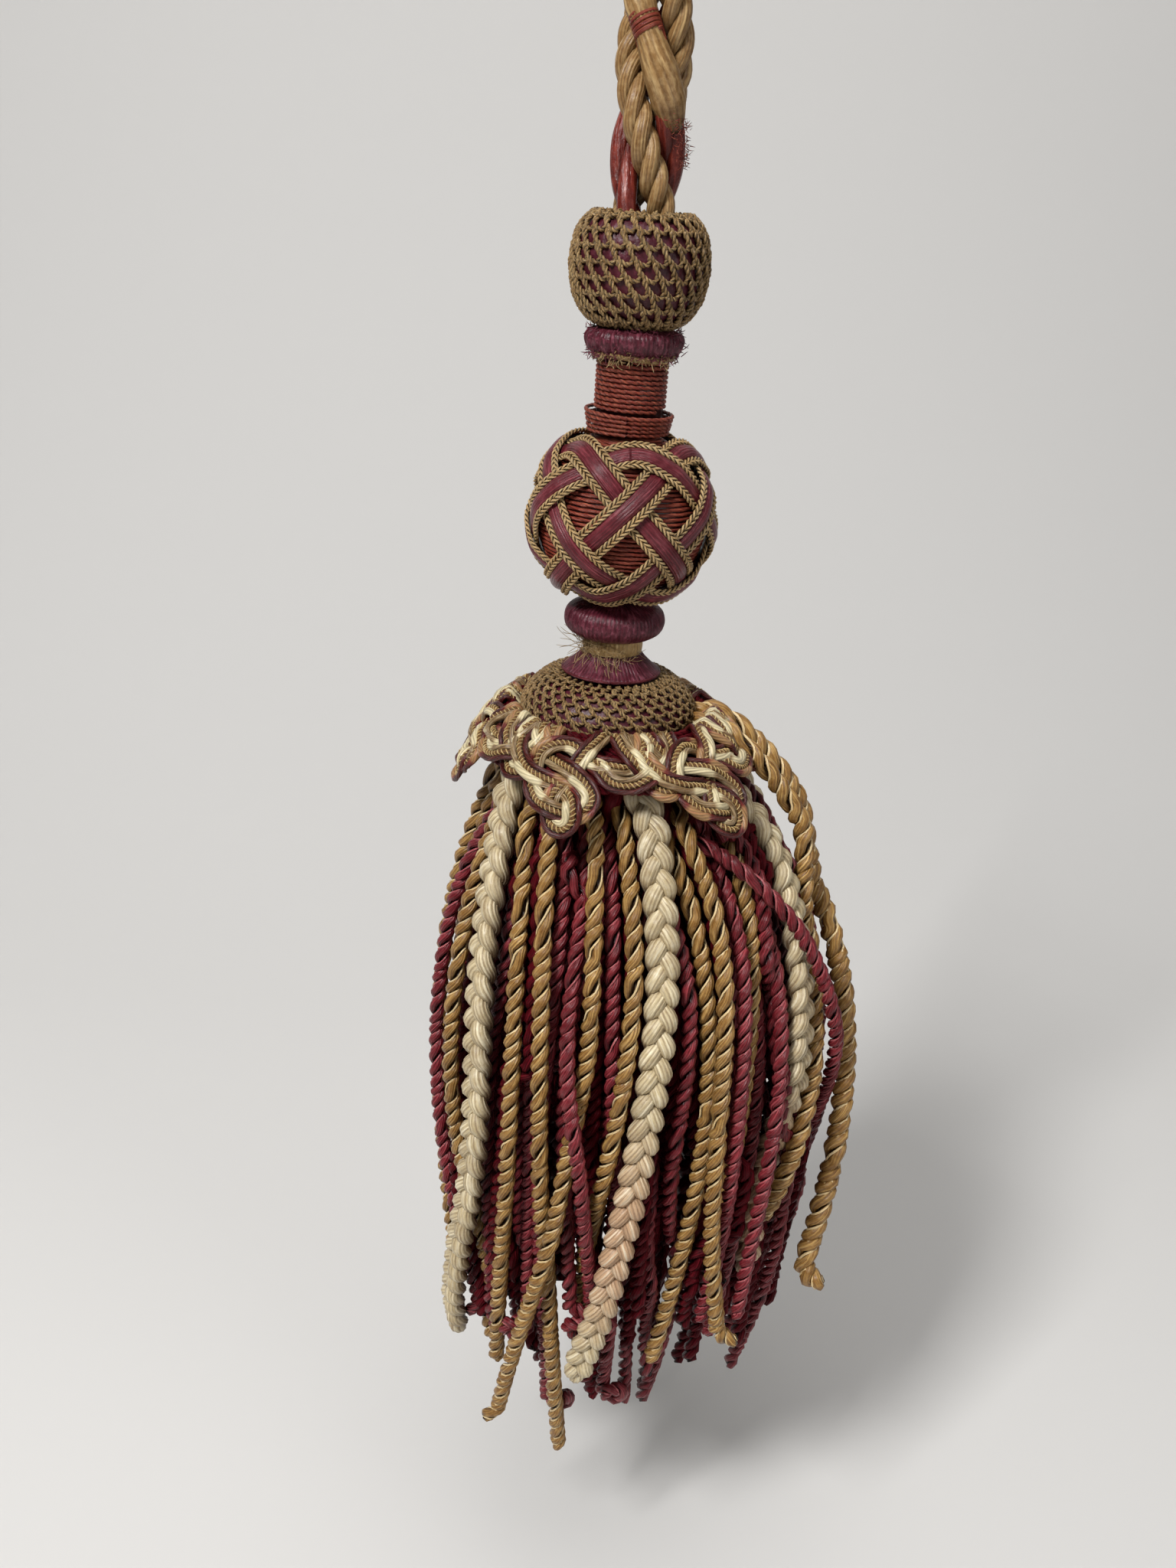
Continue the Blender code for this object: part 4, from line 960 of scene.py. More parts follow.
# %% Collar
tuft = smooth_profile([(8.5, 25.6), (11.2, 26.5), (12.1, 28.4), (11.1, 31.0), (9.2, 32.3)])
collar_parts = [turned("collar_floss", [(0.0, 25.6)] + tuft + [(0.0, 32.3)], FLOSS, 90, 0.25, 0.35, 5),
                grow("collar_band", [np.array([around(9.5, a, 31.9 + 0.3 * math.sin(rad(3 * a)))
                                               for a in range(0, 360, 5)])], BAND, closed=True, plies=1,
                     ply_radius=0.95 * MM, lay_radius=0.0, step=0.8 * MM, sides=10, yarns=5, yarn_depth=0.08,
                     yarn_twist=0.0, uneven=0.25, wander=0.0)]
finish_piece(joined("fluff_collar_floss", collar_parts), "plum_satin", "fluff_collar")

# %% [markdown]
# ## Frayed floss
# Years of hanging have rubbed the floss open in a few places: all round the small collar, at the left of
# the narrow gold band, over the disc below it, and at the lower left edge of the net. Only these places
# get loose fibres, each lot in the colour of the floss that it comes from.

# %% Loose fibres on the head
collar = outward(10.8, range(-180, 180, 6), (26.5, 28.5, 30.5, 32.0), 0.9)
loose("collar_plum_fibres", fibres(11, collar, 800, 2.0, 0.6, 0.7), FLUFF_PLUM, "plum_satin", 0.12)
loose("collar_tan_fibres", fibres(12, outward(9.8, range(-60, 70, 5), (31.0, 32.0, 32.6), 1.5), 120, 2.6, 0.2,
                                  0.5), FLUFF_TAN, "gold_floss", 0.12)
band_left = outward(8.0, range(-75, -10, 5), (103.5, 104.5, 105.5, 106.8), 0.1)
loose("band_tan_fibres", fibres(13, band_left, 110, 8.5, 0.42, 0.8), FLUFF_TAN, "gold_floss")
over_disc = outward(8.2, range(-15, 60, 6), (106.0, 107.4), 1.6)
loose("disc_tan_fibres", fibres(14, over_disc, 30, 6.0, 0.16, 0.35), FLUFF_TAN, "gold_floss")
net_foot = outward(23.6, range(-52, -22, 3), (123.4, 125.0), 0.3)
loose("net_plum_fibres", fibres(15, net_foot, 80, 4.4, 0.38, 0.8), FLUFF_PLUM, "plum_satin", 0.1)

# %% [markdown]
# ## Strapwork
# One long ribbon is plaited round the large ball, five times round with six bights at each edge. It is a
# padded satin strip, and each side is edged with two gold cords twisted opposite ways, which lie together
# like a herringbone. A hand-drawn plait would drift, so one sine wave on the sphere places the strip and,
# moved sideways, the four cords, and a table says where it goes over and where under.

# %% Sizes of the strapwork
LEADS = 5
BIGHTS = 6
STRAP_SWING = 49.5
STRAP_MIDDLE = 0.5
STRAP_TURN = 4.0
STRAP_THICK = 1.2
STRAP_RISE = 1.55
STRAP_CLEAR = 0.45
STRAP_STEPS = 900
STRAP_OVER = {1: 1, 2: -1, 3: 1, 4: -1, 6: 1, 7: -1, 8: 1, 9: -1}
EDGE_CORDS = [(2.6, 1), (3.62, -1), (-2.6, -1), (-3.62, 1)]


def strap_height(turn):
    """1 where the ribbon goes over, -1 where it goes under, from its phase along the plait."""
    phase = (turn * BIGHTS / LEADS / 36.0) % 10.0
    knots = sorted(STRAP_OVER)
    values = [STRAP_OVER[k] for k in knots]
    at = np.interp(phase, [knots[-1] - 10] + knots + [knots[0] + 10], [values[-1]] + values + [values[0]])
    return max(-1.0, min(1.0, 1.9 * float(at)))

# %% Places along the ribbon
def strap_frames():
    """Centre, sideways direction and outward direction of the ribbon at each step of its plait."""
    frames = []
    for i in range(STRAP_STEPS):
        turn = 360.0 * LEADS * i / STRAP_STEPS
        swing = rad(BIGHTS / LEADS * turn)
        latitude = rad(STRAP_MIDDLE + STRAP_SWING * math.cos(swing))
        slope = -rad(STRAP_SWING) * BIGHTS / LEADS * math.sin(swing)
        azimuth = rad(STRAP_TURN + turn)
        out = Vector((math.cos(latitude) * math.sin(azimuth), -math.cos(latitude) * math.cos(azimuth),
                      math.sin(latitude)))
        east = Vector((math.cos(azimuth), math.sin(azimuth), 0.0))
        north = out.cross(east)
        along = (east * math.cos(latitude) + north * slope).normalized()
        radius = BALL_RADIUS + STRAP_CLEAR + STRAP_THICK / 2.0 + STRAP_RISE * (1.0 + strap_height(turn)) / 2.0
        frames.append((out * radius, out.cross(along), out))
    return frames


def strap_point(frame_here, across, up):
    centre, side, out = frame_here
    radial = centre + out * up
    point = (radial + side * across).normalized() * radial.length
    return (point + Vector((0.0, 0.0, -RIM - BALL_DEPTH))) * MM

# %% Satin strip
def strap_strip(name, frames, material):
    """The padded middle of the ribbon, with a crowned section."""
    section = [(2.2 * math.cos(a), -0.55 + 1.15 * math.sin(a)) for a in np.linspace(0.0, math.pi, 9)]
    section += [(-1.2, -0.6), (1.2, -0.6)]
    mesh = bpy.data.meshes.new(name)
    cage = bmesh.new()
    along = cage.verts.layers.float.new("along")
    facing = cage.verts.layers.float_vector.new("round")
    outer = cage.verts.layers.float.new("outer")
    rings = []
    for i, here in enumerate(frames):
        ring = []
        for k, (across, up) in enumerate(section):
            vert = cage.verts.new(strap_point(here, across, up))
            vert[along] = i * 0.001
            # The underside gets a low outer share, which the material darkens as painted shade.
            vert[outer] = 1.0 if up > -0.3 else 0.4
            vert[facing] = Vector((math.cos(k * 0.55), math.sin(k * 0.55), 0.0))
            ring.append(vert)
        rings.append(ring)
    for ring, after in zip(rings, rings[1:] + rings[:1]):
        for k in range(len(section)):
            cage.faces.new((ring[k], ring[k - 1], after[k - 1], after[k])).smooth = True
    bmesh.ops.recalc_face_normals(cage, faces=cage.faces)
    cage.to_mesh(mesh)
    cage.free()
    mesh.materials.append(material)
    return add_object(name, mesh)

# %% Ribbon with its edge cords
frames = strap_frames()
strap_parts = [strap_strip("strap_satin", frames, PLUM)]
for number, (across, hand) in enumerate(EDGE_CORDS):
    edge = np.array([strap_point(here, across, -0.08) for here in frames])
    turns = round(length_of(edge) / 0.0031)
    strap_parts.append(grow(f"strap_edge_{number}", [edge], STRAP_GOLD, closed=True, plies=2,
                            ply_radius=0.31 * MM, lay_radius=0.3 * MM, pitch=hand * length_of(edge) / turns,
                            step=0.42 * MM, sides=5, yarns=1, yarn_depth=0.0, yarn_twist=0.0, wander=0.0))
finish_piece(joined("strapwork_ribbon", strap_parts), "net_cord", "strapwork")

# %% [markdown]
# ## The skirt's cords
# The skirt hangs from rings under the shoulder. Each cord has an azimuth at its root, at two levels and
# at its tip, read from the photograph at the front and drawn by chance with a fixed seed at the back. The
# rules and the tables are those of the solids, so each cord hangs where its solid does. A simulation of
# so many cords would never settle into the very same order.

# %% Sizes and tables of the skirt
SKIRT = [(126, 23.0, 0.0), (131, 30.0, 1.5), (137, 37.0, 3.2), (143, 42.0, 4.8), (150, 45.5, 6.6),
         (158, 49.0, 8.8), (168, 53.0, 11.0), (180, 56.5, 12.0), (194, 59.5, 12.8), (215, 62.6, 14.3),
         (243, 63.3, 15.0), (273, 61.6, 15.6), (304, 58.3, 15.4), (330, 54.0, 15.0), (360, 48.0, 14.0)]
CORD_CLEAR = 6.0
BRAID_CLEAR = 8.1
PROUD = 4.5
SKIRT_STEP = 4.6
UPPER_LEVEL = 185.0
LOWER_LEVEL = 240.0
ROOT_RADIUS = 18.0
RING_RADIUS = 21.0
RING_HEIGHTS = {"cream": 7.0, "gold": 5.4, "burgundy": 5.4, "inner": 5.4}
RING_TOP = 128.6
GAP = 0.3
FRONT_COLUMNS = ("kind", "root", "upper", "lower", "tip", "reach", "in_root", "in_middle", "in_tip")
FRONT = [
    ("gold", -85, -88, -84, -66, 330, 0, 6, 10),
    ("burgundy", -70, -86, -79, -62, 320, 0, 0, 6),
    ("gold", -62, -64, -62, -52, 300, 0, 0, 9),
    ("cream", -56, -52, -43, -72, 328, 0, 0, 0),
    ("gold", -41, -35, -33, -45, 320, 0, 0, 3),
    ("burgundy", -33, -34, -30, -31, 312, 6, 7, 8),
    ("gold", -27, -26, -25, -20, 352, 0, 0, 7),
    ("burgundy", -18, -27, -30, -27, 340, 0, 6, 9),
    ("burgundy", -13, -20, -11, -9, 300, 6, 0, 11),
    ("gold", -7, -15, -15, -44, 345, 0, 0, -1),
    ("burgundy", -1, -9, -5, -6, 333, 0, 6, 14),
    ("gold", 5, 1, -10, -13, 312, 0, 0, 14),
    ("cream", 14, 8, -1, -13, 308, 0, 0, 0),
    ("gold", 26, 24, 20, 12, 306, 0, 6, 8),
    ("gold", 34, 26, 19, 30, 296, 0, 0, 0),
    ("burgundy", 46, 31, 24, 27, 288, 0, 0, 2),
    ("burgundy", 52, 43, 36, 33, 300, 6, 7, 10),
    ("gold", 58, 41, 32, 28, 268, 0, 7, 6),
    ("burgundy", 42, 60, 76, 81, 264, -4, -1, 8),
    ("burgundy", 62, 47, 38, 28, 284, 6, 0, 0),
    ("cream", 74, 57, 46, 46, 282, 0, 5, 8),
    ("gold", 84, 68, 50, 44, 255, 0, 5, 6),
    ("gold", 95, 86, 72, 60, 290, 0, -5, -3),
]
BACK_FROM = 106.0
BACK_TO = 266.0
BACK_KINDS = ("burgundy", "gold", "cream", "gold", "burgundy", "gold", "burgundy", "gold",
              "burgundy", "cream", "burgundy", "gold", "burgundy", "gold", "burgundy", "gold",
              "cream", "burgundy", "gold", "burgundy", "gold")
BACK_REACH = (285.0, 335.0)
INNER_COUNT = 24
INNER_REACH = (300.0, 338.0)
INNER_IN = (13.0, 20.0)
SEED = 11

# %% Every cord of the skirt
def skirt_surface(depth):
    """Radius of the skirt's outer surface and the place of its middle, at a depth."""
    rows = np.array(SKIRT, float)
    return np.interp(depth, rows[:, 0], rows[:, 1]), np.interp(depth, rows[:, 0], rows[:, 2])


def cord_rows():
    """Every cord of the skirt as a dictionary: the front table, then the back and the inside."""
    rows = [dict(zip(FRONT_COLUMNS, row)) for row in FRONT]
    chance = random.Random(SEED)
    step = (BACK_TO - BACK_FROM) / (len(BACK_KINDS) - 1)
    for i, kind in enumerate(BACK_KINDS):
        azimuth = BACK_FROM + step * i
        lie = 0.0 if kind == "cream" else (0.0, 5.5)[i % 2]
        rows.append(dict(
            kind=kind, root=azimuth, upper=azimuth + chance.uniform(-3, 3),
            lower=azimuth + chance.uniform(-6, 6), tip=azimuth + chance.uniform(-9, 9),
            reach=chance.uniform(*BACK_REACH), in_root=lie, in_middle=lie,
            in_tip=lie + chance.uniform(0, 5),
        ))
    for i in range(INNER_COUNT):
        azimuth = 360.0 / INNER_COUNT * i
        rows.append(dict(
            kind="inner", root=azimuth, upper=azimuth + chance.uniform(-6, 6),
            lower=azimuth + chance.uniform(-9, 9), tip=azimuth + chance.uniform(-12, 12),
            reach=chance.uniform(*INNER_REACH), in_root=12.0, in_middle=INNER_IN[i % 2],
            in_tip=INNER_IN[i % 2] + chance.uniform(-2, 4),
        ))
    return rows

# %% First routes
def ring_middle(kind):
    top = RING_TOP
    for name, height in RING_HEIGHTS.items():
        if name == kind:
            return top + height / 2.0
        top += height + GAP
    return None


def first_route(row):
    """A cord's line before the cords are parted: out of its ring, over the shoulder and down."""
    clear = (BRAID_CLEAR if row["kind"] == "cream" else CORD_CLEAR) / 2.0
    root = ring_middle(row["kind"])
    levels = (root, UPPER_LEVEL, LOWER_LEVEL, row["reach"])
    line = [around(ROOT_RADIUS, row["root"], root), around(RING_RADIUS + 0.8, row["root"], root)]
    for depth in np.linspace(root + 3.0, row["reach"], 60):
        radius, middle = skirt_surface(depth)
        azimuth = np.interp(depth, levels, (row["root"], row["upper"], row["lower"], row["tip"]))
        lie = np.interp(depth, levels, (row["in_root"], row["in_middle"], row["in_middle"], row["in_tip"]))
        line.append(around(radius - clear - lie, azimuth, depth, middle))
    return resampled(np.array(line), SKIRT_STEP * MM)

# %% [markdown]
# ## Room for each cord
# Laid straight from the table, the cords would cut into each other. So they are relaxed: again and again
# each line is drawn smooth, points of two cords that are nearer than a cord's width are pushed apart, and
# anything outside the skirt is brought back. A k-d tree finds the near points quickly.

# %% Parted routes
def parted(routes, widths, passes=90, still=0, proud=PROUD):
    """Draws the cords smooth and pushes them apart until each has its own room. The first few stay still."""
    owner = np.concatenate([[i] * len(route) for i, route in enumerate(routes)])
    width = np.array(widths)[owner]
    starts = np.cumsum([0] + [len(route) for route in routes])
    points = np.concatenate(routes)
    held = np.zeros(len(points), bool)
    for start in starts[:-1]:
        held[start:start + 3] = True
    held[:starts[still]] = True
    for turn in range(passes):
        if turn < passes - 30 or turn % 5 == 0:
            for start, end in zip(starts[still:-1], starts[still + 1:]):
                points[start:end] = smoothed(points[start:end], 1, fixed=3)
        near = KDTree(len(points))
        for i, point in enumerate(points):
            near.insert(point, i)
        near.balance()
        push = np.zeros_like(points)
        for i, point in enumerate(points):
            for other, k, distance in near.find_range(point, (width[i] + BRAID_CLEAR) / 2.0 * MM):
                wanted = (width[i] + width[k]) / 2.0 * MM
                if owner[k] != owner[i] and 1e-7 < distance < wanted:
                    push[i] += (point - np.array(other)) / distance * (wanted - distance) * 0.5
        push[held] = 0.0
        points += push
        depth = -points[:, 2] / MM - RIM
        radius, middle = skirt_surface(depth)
        away = np.hypot(points[:, 0] - middle * MM, points[:, 1])
        most = (radius - width / 2.0 + proud) * MM
        over = np.maximum(away / most, 1.0)
        over[held] = 1.0
        points[:, 0] = middle * MM + (points[:, 0] - middle * MM) / over
        points[:, 1] /= over
    return [points[start:end] for start, end in zip(starts[:-1], starts[1:])]


ROWS = cord_rows()
ROUTES = parted([first_route(row) for row in ROWS],
                [BRAID_CLEAR if row["kind"] == "cream" else CORD_CLEAR for row in ROWS])
print("skirt cords:", len(ROUTES), "total", round(sum(map(length_of, ROUTES)), 2), "m")

# %% [markdown]
# ## Cords that fill the skirt
# Behind the outer cords the real skirt is packed with more burgundy cords, which show as dark red in every
# gap. They are laid in a second ring just inside the outer cords, which stay where they are, and only the
# new ones are pushed about until they fit. Thick cords in the core, made later, close the middle, which
# nobody sees into.

# %% Filling cords
FILL_COUNT = 66
FILL_IN = (7.0, 9.5, 12.5)
FILL_REACH = (276.0, 334.0)
FILL_PROUD = -4.5
CORE_RADIUS = 27.0
CORE_COUNT = 17
CORE_REACH = 302.0


def fill_rows():
    chance = random.Random(SEED + 1)
    rows = []
    for i in range(FILL_COUNT):
        azimuth = 360.0 / FILL_COUNT * i
        lie = FILL_IN[i % len(FILL_IN)]
        rows.append(dict(
            kind="inner", root=azimuth, upper=azimuth + chance.uniform(-5, 5),
            lower=azimuth + chance.uniform(-9, 9), tip=azimuth + chance.uniform(-14, 14),
            reach=chance.uniform(*FILL_REACH), in_root=lie, in_middle=lie,
            in_tip=lie + chance.uniform(-2, 3)))
    return rows


FILL = parted(ROUTES + [first_route(row) for row in fill_rows()],
              [BRAID_CLEAR if row["kind"] == "cream" else CORD_CLEAR for row in ROWS]
              + [CORD_CLEAR - 0.6] * FILL_COUNT, passes=45, still=len(ROUTES), proud=FILL_PROUD)[len(ROUTES):]
print("filling cords:", len(FILL))

# %% [markdown]
# ## Cords that hang their own way
# Two gold cords at the right come out over the trim instead of under it, three cords bulge out from the
# shoulder there, and some tips are bent into hooks or small curls. These are small changes to a finished
# route: a new start, a push outwards that fades, and an arc added at the end.

# %% Starts over the trim and bent ends
OVER_TRIM = [(20.5, 125.6), (26.5, 123.4), (32.5, 125.2), (37.5, 129.6), (41.5, 134.6), (45.0, 140.2),
             (47.6, 146.0), (49.2, 151.5)]
OVER_FROM = {21: 78.0, 22: 96.0}
FATTER = {21: 1.15, 22: 1.32}
EASED = {18: [(150, 0.0), (168, 4.0), (205, 4.0), (235, 0.0)],
         20: [(136, 0.0), (150, 4.5), (215, 5.0), (255, 0.0)],
         21: [(150, 0.0), (165, 4.0), (215, 4.5), (260, 0.0)]}
HOOKS = {9: (-60.0, 7.0), 22: (95.0, 6.5), 14: (80.0, 7.0), 5: (-330.0, 3.3), 7: (240.0, 3.4),
         8: (-300.0, 3.4), 10: (330.0, 3.3), 17: (60.0, 6.0), 1: (-80.0, 5.0)}

# %% Changes to a route
def over_trim(route, azimuth):
    """The route with a new start, out from under the net and over the trim."""
    depth = -route[:, 2] / MM - RIM
    start = [around(radius, azimuth, d, skirt_surface(d)[1]) for radius, d in OVER_TRIM]
    return np.concatenate([start, route[depth > 170.0]])


def eased(route, rows):
    """The route moved out from the middle of the skirt, by an amount for each depth."""
    depth = -route[:, 2] / MM - RIM
    middle = skirt_surface(depth)[1] * MM
    out = np.column_stack([route[:, 0] - middle, route[:, 1], np.zeros(len(route))])
    out /= np.linalg.norm(out, axis=1, keepdims=True)
    return route + out * (np.interp(depth, *zip(*rows)) * MM)[:, None]


def hooked(route, turn, radius):
    """The route with its end bent through an angle, to the viewer's right or, below zero, to the left."""
    ahead = Vector(route[-1] - route[-2]).normalized()
    aside = Vector((1.0, 0.0, 0.0))
    aside = (aside - ahead * aside.dot(ahead)).normalized()
    out = ahead.cross(aside)
    count = max(3, int(abs(rad(turn)) * radius / 1.4))
    point = Vector(route[-1])
    row = []
    for k in range(1, count + 1):
        angle = rad(turn) * k / count
        point = point + (ahead * math.cos(angle) + aside * math.sin(angle) + out * 0.16) * 1.4 * MM
        row.append(tuple(point))
    return np.concatenate([route, row])

# %% Routes as they are shown
SHOWN = list(ROUTES)
for number, rows in EASED.items():
    SHOWN[number] = eased(SHOWN[number], rows)
for number, azimuth in OVER_FROM.items():
    SHOWN[number] = over_trim(SHOWN[number], azimuth)
for number, (turn, radius) in HOOKS.items():
    SHOWN[number] = hooked(SHOWN[number][:-2], turn, radius)
print("bent ends:", len(HOOKS))

# %% [markdown]
# ## Gold and burgundy cords
# Each cord is a bullion: one ply folded at the tip and twisted back on itself, so it shows as two fat lobes
# that rise to the right. A thin shiny yarn lies between the lobes. It could be painted on, but a real ridge
# catches the light as the cord turns, and the same tree makes it on the same routes, laid a fifth of a turn
# further round. Its dye is much paler than the cord's, near the cord's highlight tone, so the yarn is also a
# painted highlight along each lobe.

# %% Twisted cords of the skirt
def chosen(kind, front):
    return [i for i, row in enumerate(ROWS) if row["kind"] == kind and (i < len(FRONT)) == front]


def bullion(name, numbers, material, shine, ply, pitch, front):
    """Cords of two fat plies, and the thin pale yarn that lies in their groove, whose pale dye is also a
    painted highlight.
    """
    routes = [rounded(SHOWN[i], 5) for i in numbers]
    thick = [np.full(len(route), FATTER.get(i, 1.0)) for i, route in zip(numbers, routes)]
    detail = dict(step=0.9 * MM, sides=16) if front else dict(step=1.2 * MM, sides=10)
    both = dict(thick=thick, plies=2, pitch=pitch * MM, wander=0.9, loose=15.0 * MM, tip=3.2 * MM)
    fat = grow(name + "_plies", routes, material, ply_radius=ply * MM, lay_radius=1.02 * ply * MM,
               yarns=detail["sides"] // 2, yarn_depth=0.035, yarn_twist=-120.0, uneven=0.07, **detail, **both)
    thin = grow(name + "_shine", routes, shine, ply_radius=0.3 * MM, lay_radius=1.36 * ply * MM, phase=0.19,
                step=detail["step"] * 1.1, sides=5, yarns=1, yarn_depth=0.0, yarn_twist=0.0, uneven=0.15,
                **both)
    return joined(name, [fat, thin])

# %% Gold and burgundy pieces
gold_front = bullion("gold_cords_front", chosen("gold", True), GOLD, GOLD_SHINE, 1.23, 9.2, True)
finish_piece(gold_front, "gold_cord", "gold_cords")
gold_back = bullion("gold_cords_back", chosen("gold", False), GOLD, GOLD_SHINE, 1.23, 9.2, False)
finish_piece(gold_back, "gold_cord")
burgundy_front = bullion("burgundy_cords_front", chosen("burgundy", True), BURGUNDY, BURGUNDY_SHINE, 1.1, 7.8,
                         True)
finish_piece(burgundy_front, "burgundy_cord", "burgundy_cords")
burgundy_back = bullion("burgundy_cords_back", chosen("burgundy", False), BURGUNDY, BURGUNDY_SHINE, 1.1, 7.8,
                        False)
finish_piece(burgundy_back, "burgundy_cord")

# %% [markdown]
# ## The dark cords inside
# The inner cords lie in the shade and are only glimpsed, so they have fewer sides, no shiny yarn and a
# darker, duller copy of the burgundy finish, which is painted shade. They are still real twisted cords,
# because their outline shows between the tips.

# %% Inner, core and filling cords
def dark_cords(name, routes, *nodes):
    piece = grow(name, routes, INNER, plies=2, ply_radius=1.3 * MM, lay_radius=1.2 * MM, pitch=7.8 * MM,
                 step=1.7 * MM, sides=7, yarns=3, yarn_depth=0.05, yarn_twist=-120.0, wander=0.9,
                 loose=15.0 * MM, tip=3.2 * MM)
    return finish_piece(piece, "burgundy_cord", *nodes)


dark_cords("inner_cords_twisted", [rounded(SHOWN[i], 4) for i in chosen("inner", False)], "inner_cords")
dark_cords("filling_cords_inner", [rounded(route, 4) for route in FILL[::2]])
core_depths = np.linspace(132.0, CORE_REACH, 12)
core = [rounded([around(CORE_RADIUS, a, d, skirt_surface(d)[1]) for d in core_depths], 4)
        for a in np.arange(0.0, 360.0, 360.0 / CORE_COUNT)]
core_cords = grow("core_cords", core, INNER, plies=2, ply_radius=2.3 * MM, lay_radius=2.2 * MM,
                  pitch=13.0 * MM, step=2.6 * MM, sides=8, yarns=4, yarn_depth=0.05, yarn_twist=-60.0,
                  wander=0.9, tip=5.0 * MM)
finish_piece(core_cords, "burgundy_cord")
filling = grow("filling_cords_outer", [rounded(route, 4) for route in FILL[1::2]], BURGUNDY, plies=2,
               ply_radius=1.12 * MM, lay_radius=1.14 * MM, pitch=7.8 * MM, step=1.5 * MM, sides=8, yarns=3,
               yarn_depth=0.05, yarn_twist=-120.0, wander=0.9, loose=15.0 * MM, tip=3.2 * MM)
finish_piece(filling, "burgundy_cord")

# %% [markdown]
# ## Cream plaits
# Six thick plaits of cream floss lie among the cords. In a plait of three, each strand swings from side
# to side once for each repeat and crosses the middle twice, over and then under, and the three follow
# each other a third of a repeat apart. Two sine waves give that, one as fast again as the other. The
# strand is fattest where it comes to the front, which makes the round lobes.

# %% Plaits
PLAIT_REPEAT = 20.4
PLAIT_SWING = 2.5
PLAIT_LIFT = 1.35
STRAND_RADIUS = 2.3


def plait_routes(route):
    """The three strands of a plait along a route, and how each swells where it comes to the front."""
    line = resampled(rounded(route, 6), 1.0 * MM)
    depth = -line[:, 2] / MM - RIM
    middle = np.array([skirt_surface(d)[1] for d in depth]) * MM
    out = np.column_stack([line[:, 0] - middle, line[:, 1], np.zeros(len(line))])
    ahead = np.gradient(line, axis=0)
    ahead /= np.linalg.norm(ahead, axis=1, keepdims=True)
    out -= (out * ahead).sum(axis=1, keepdims=True) * ahead
    out /= np.linalg.norm(out, axis=1, keepdims=True)
    side = np.cross(out, ahead)
    gone = np.arange(len(line)) / PLAIT_REPEAT
    narrow = np.clip((len(line) - np.arange(len(line))) / 8.0, 0.25, 1.0)[:, None]
    strands = []
    for k in range(3):
        turn = 2.0 * math.pi * (gone + k / 3.0)
        strands.append((line + (side * (PLAIT_SWING * np.sin(turn))[:, None]
                                + out * (PLAIT_LIFT * np.sin(2.0 * turn))[:, None]) * MM * narrow,
                        0.84 + 0.17 * np.sin(2.0 * turn)))
    return strands

# %% Plait piece
def plait_piece():
    strands = [s for row, route in zip(ROWS, SHOWN) if row["kind"] == "cream" for s in plait_routes(route)]
    return grow("cream_braid_plaits", [s[0] for s in strands], CREAM, thick=[s[1] for s in strands], plies=1,
                ply_radius=STRAND_RADIUS * MM, lay_radius=0.0, step=1.0 * MM, sides=20, yarns=10,
                yarn_depth=0.045, yarn_twist=30.0, uneven=0.07, wander=0.0, tip=4.0 * MM)


finish_piece(plait_piece(), "cream_floss", "cream_braids")

# %% [markdown]
# ## Looped trim
# A flat gimp of three cords is coiled into knots, loops and scallops on the shoulder: a glossy cream
# cord, a crinkled brown one in the middle, and a burgundy one with fat wrapped lengths. The tables give
# one repeat, as azimuth from the knot's middle, distance down the shoulder, and whether the gimp goes over
# or under, and the cords run side by side along each line. A flat relief would lose the crossings, so each
# cord really passes over or under. A dark heading of level cords lies below it all.

# %% Sizes of the trim
REPEATS = 6
TRIM_TURN = -19.0
TRIM_BED = [(123, 25.5, 0.5), (126, 30.0, 1.0), (131, 36.0, 2.0), (137, 41.0, 3.2), (143, 45.0, 4.8),
            (150, 48.5, 6.6), (158, 51.5, 8.8)]
TRIM_LIFT = 2.0
TRIM_RISE = 1.05
TUCK = (22.4, 126.2)
TRIM_SINK = [(-140, 0.0), (-110, -2.5), (-79, -3.0), (-55, 0.0), (55, 0.0), (78, -3.5), (125, -4.0),
             (150, 0.0)]
HEADING_HEIGHT = 0.4
TRIM_NUDGE = (0.0, -4.0, 0.0, 0.0, 0.0, 0.0)

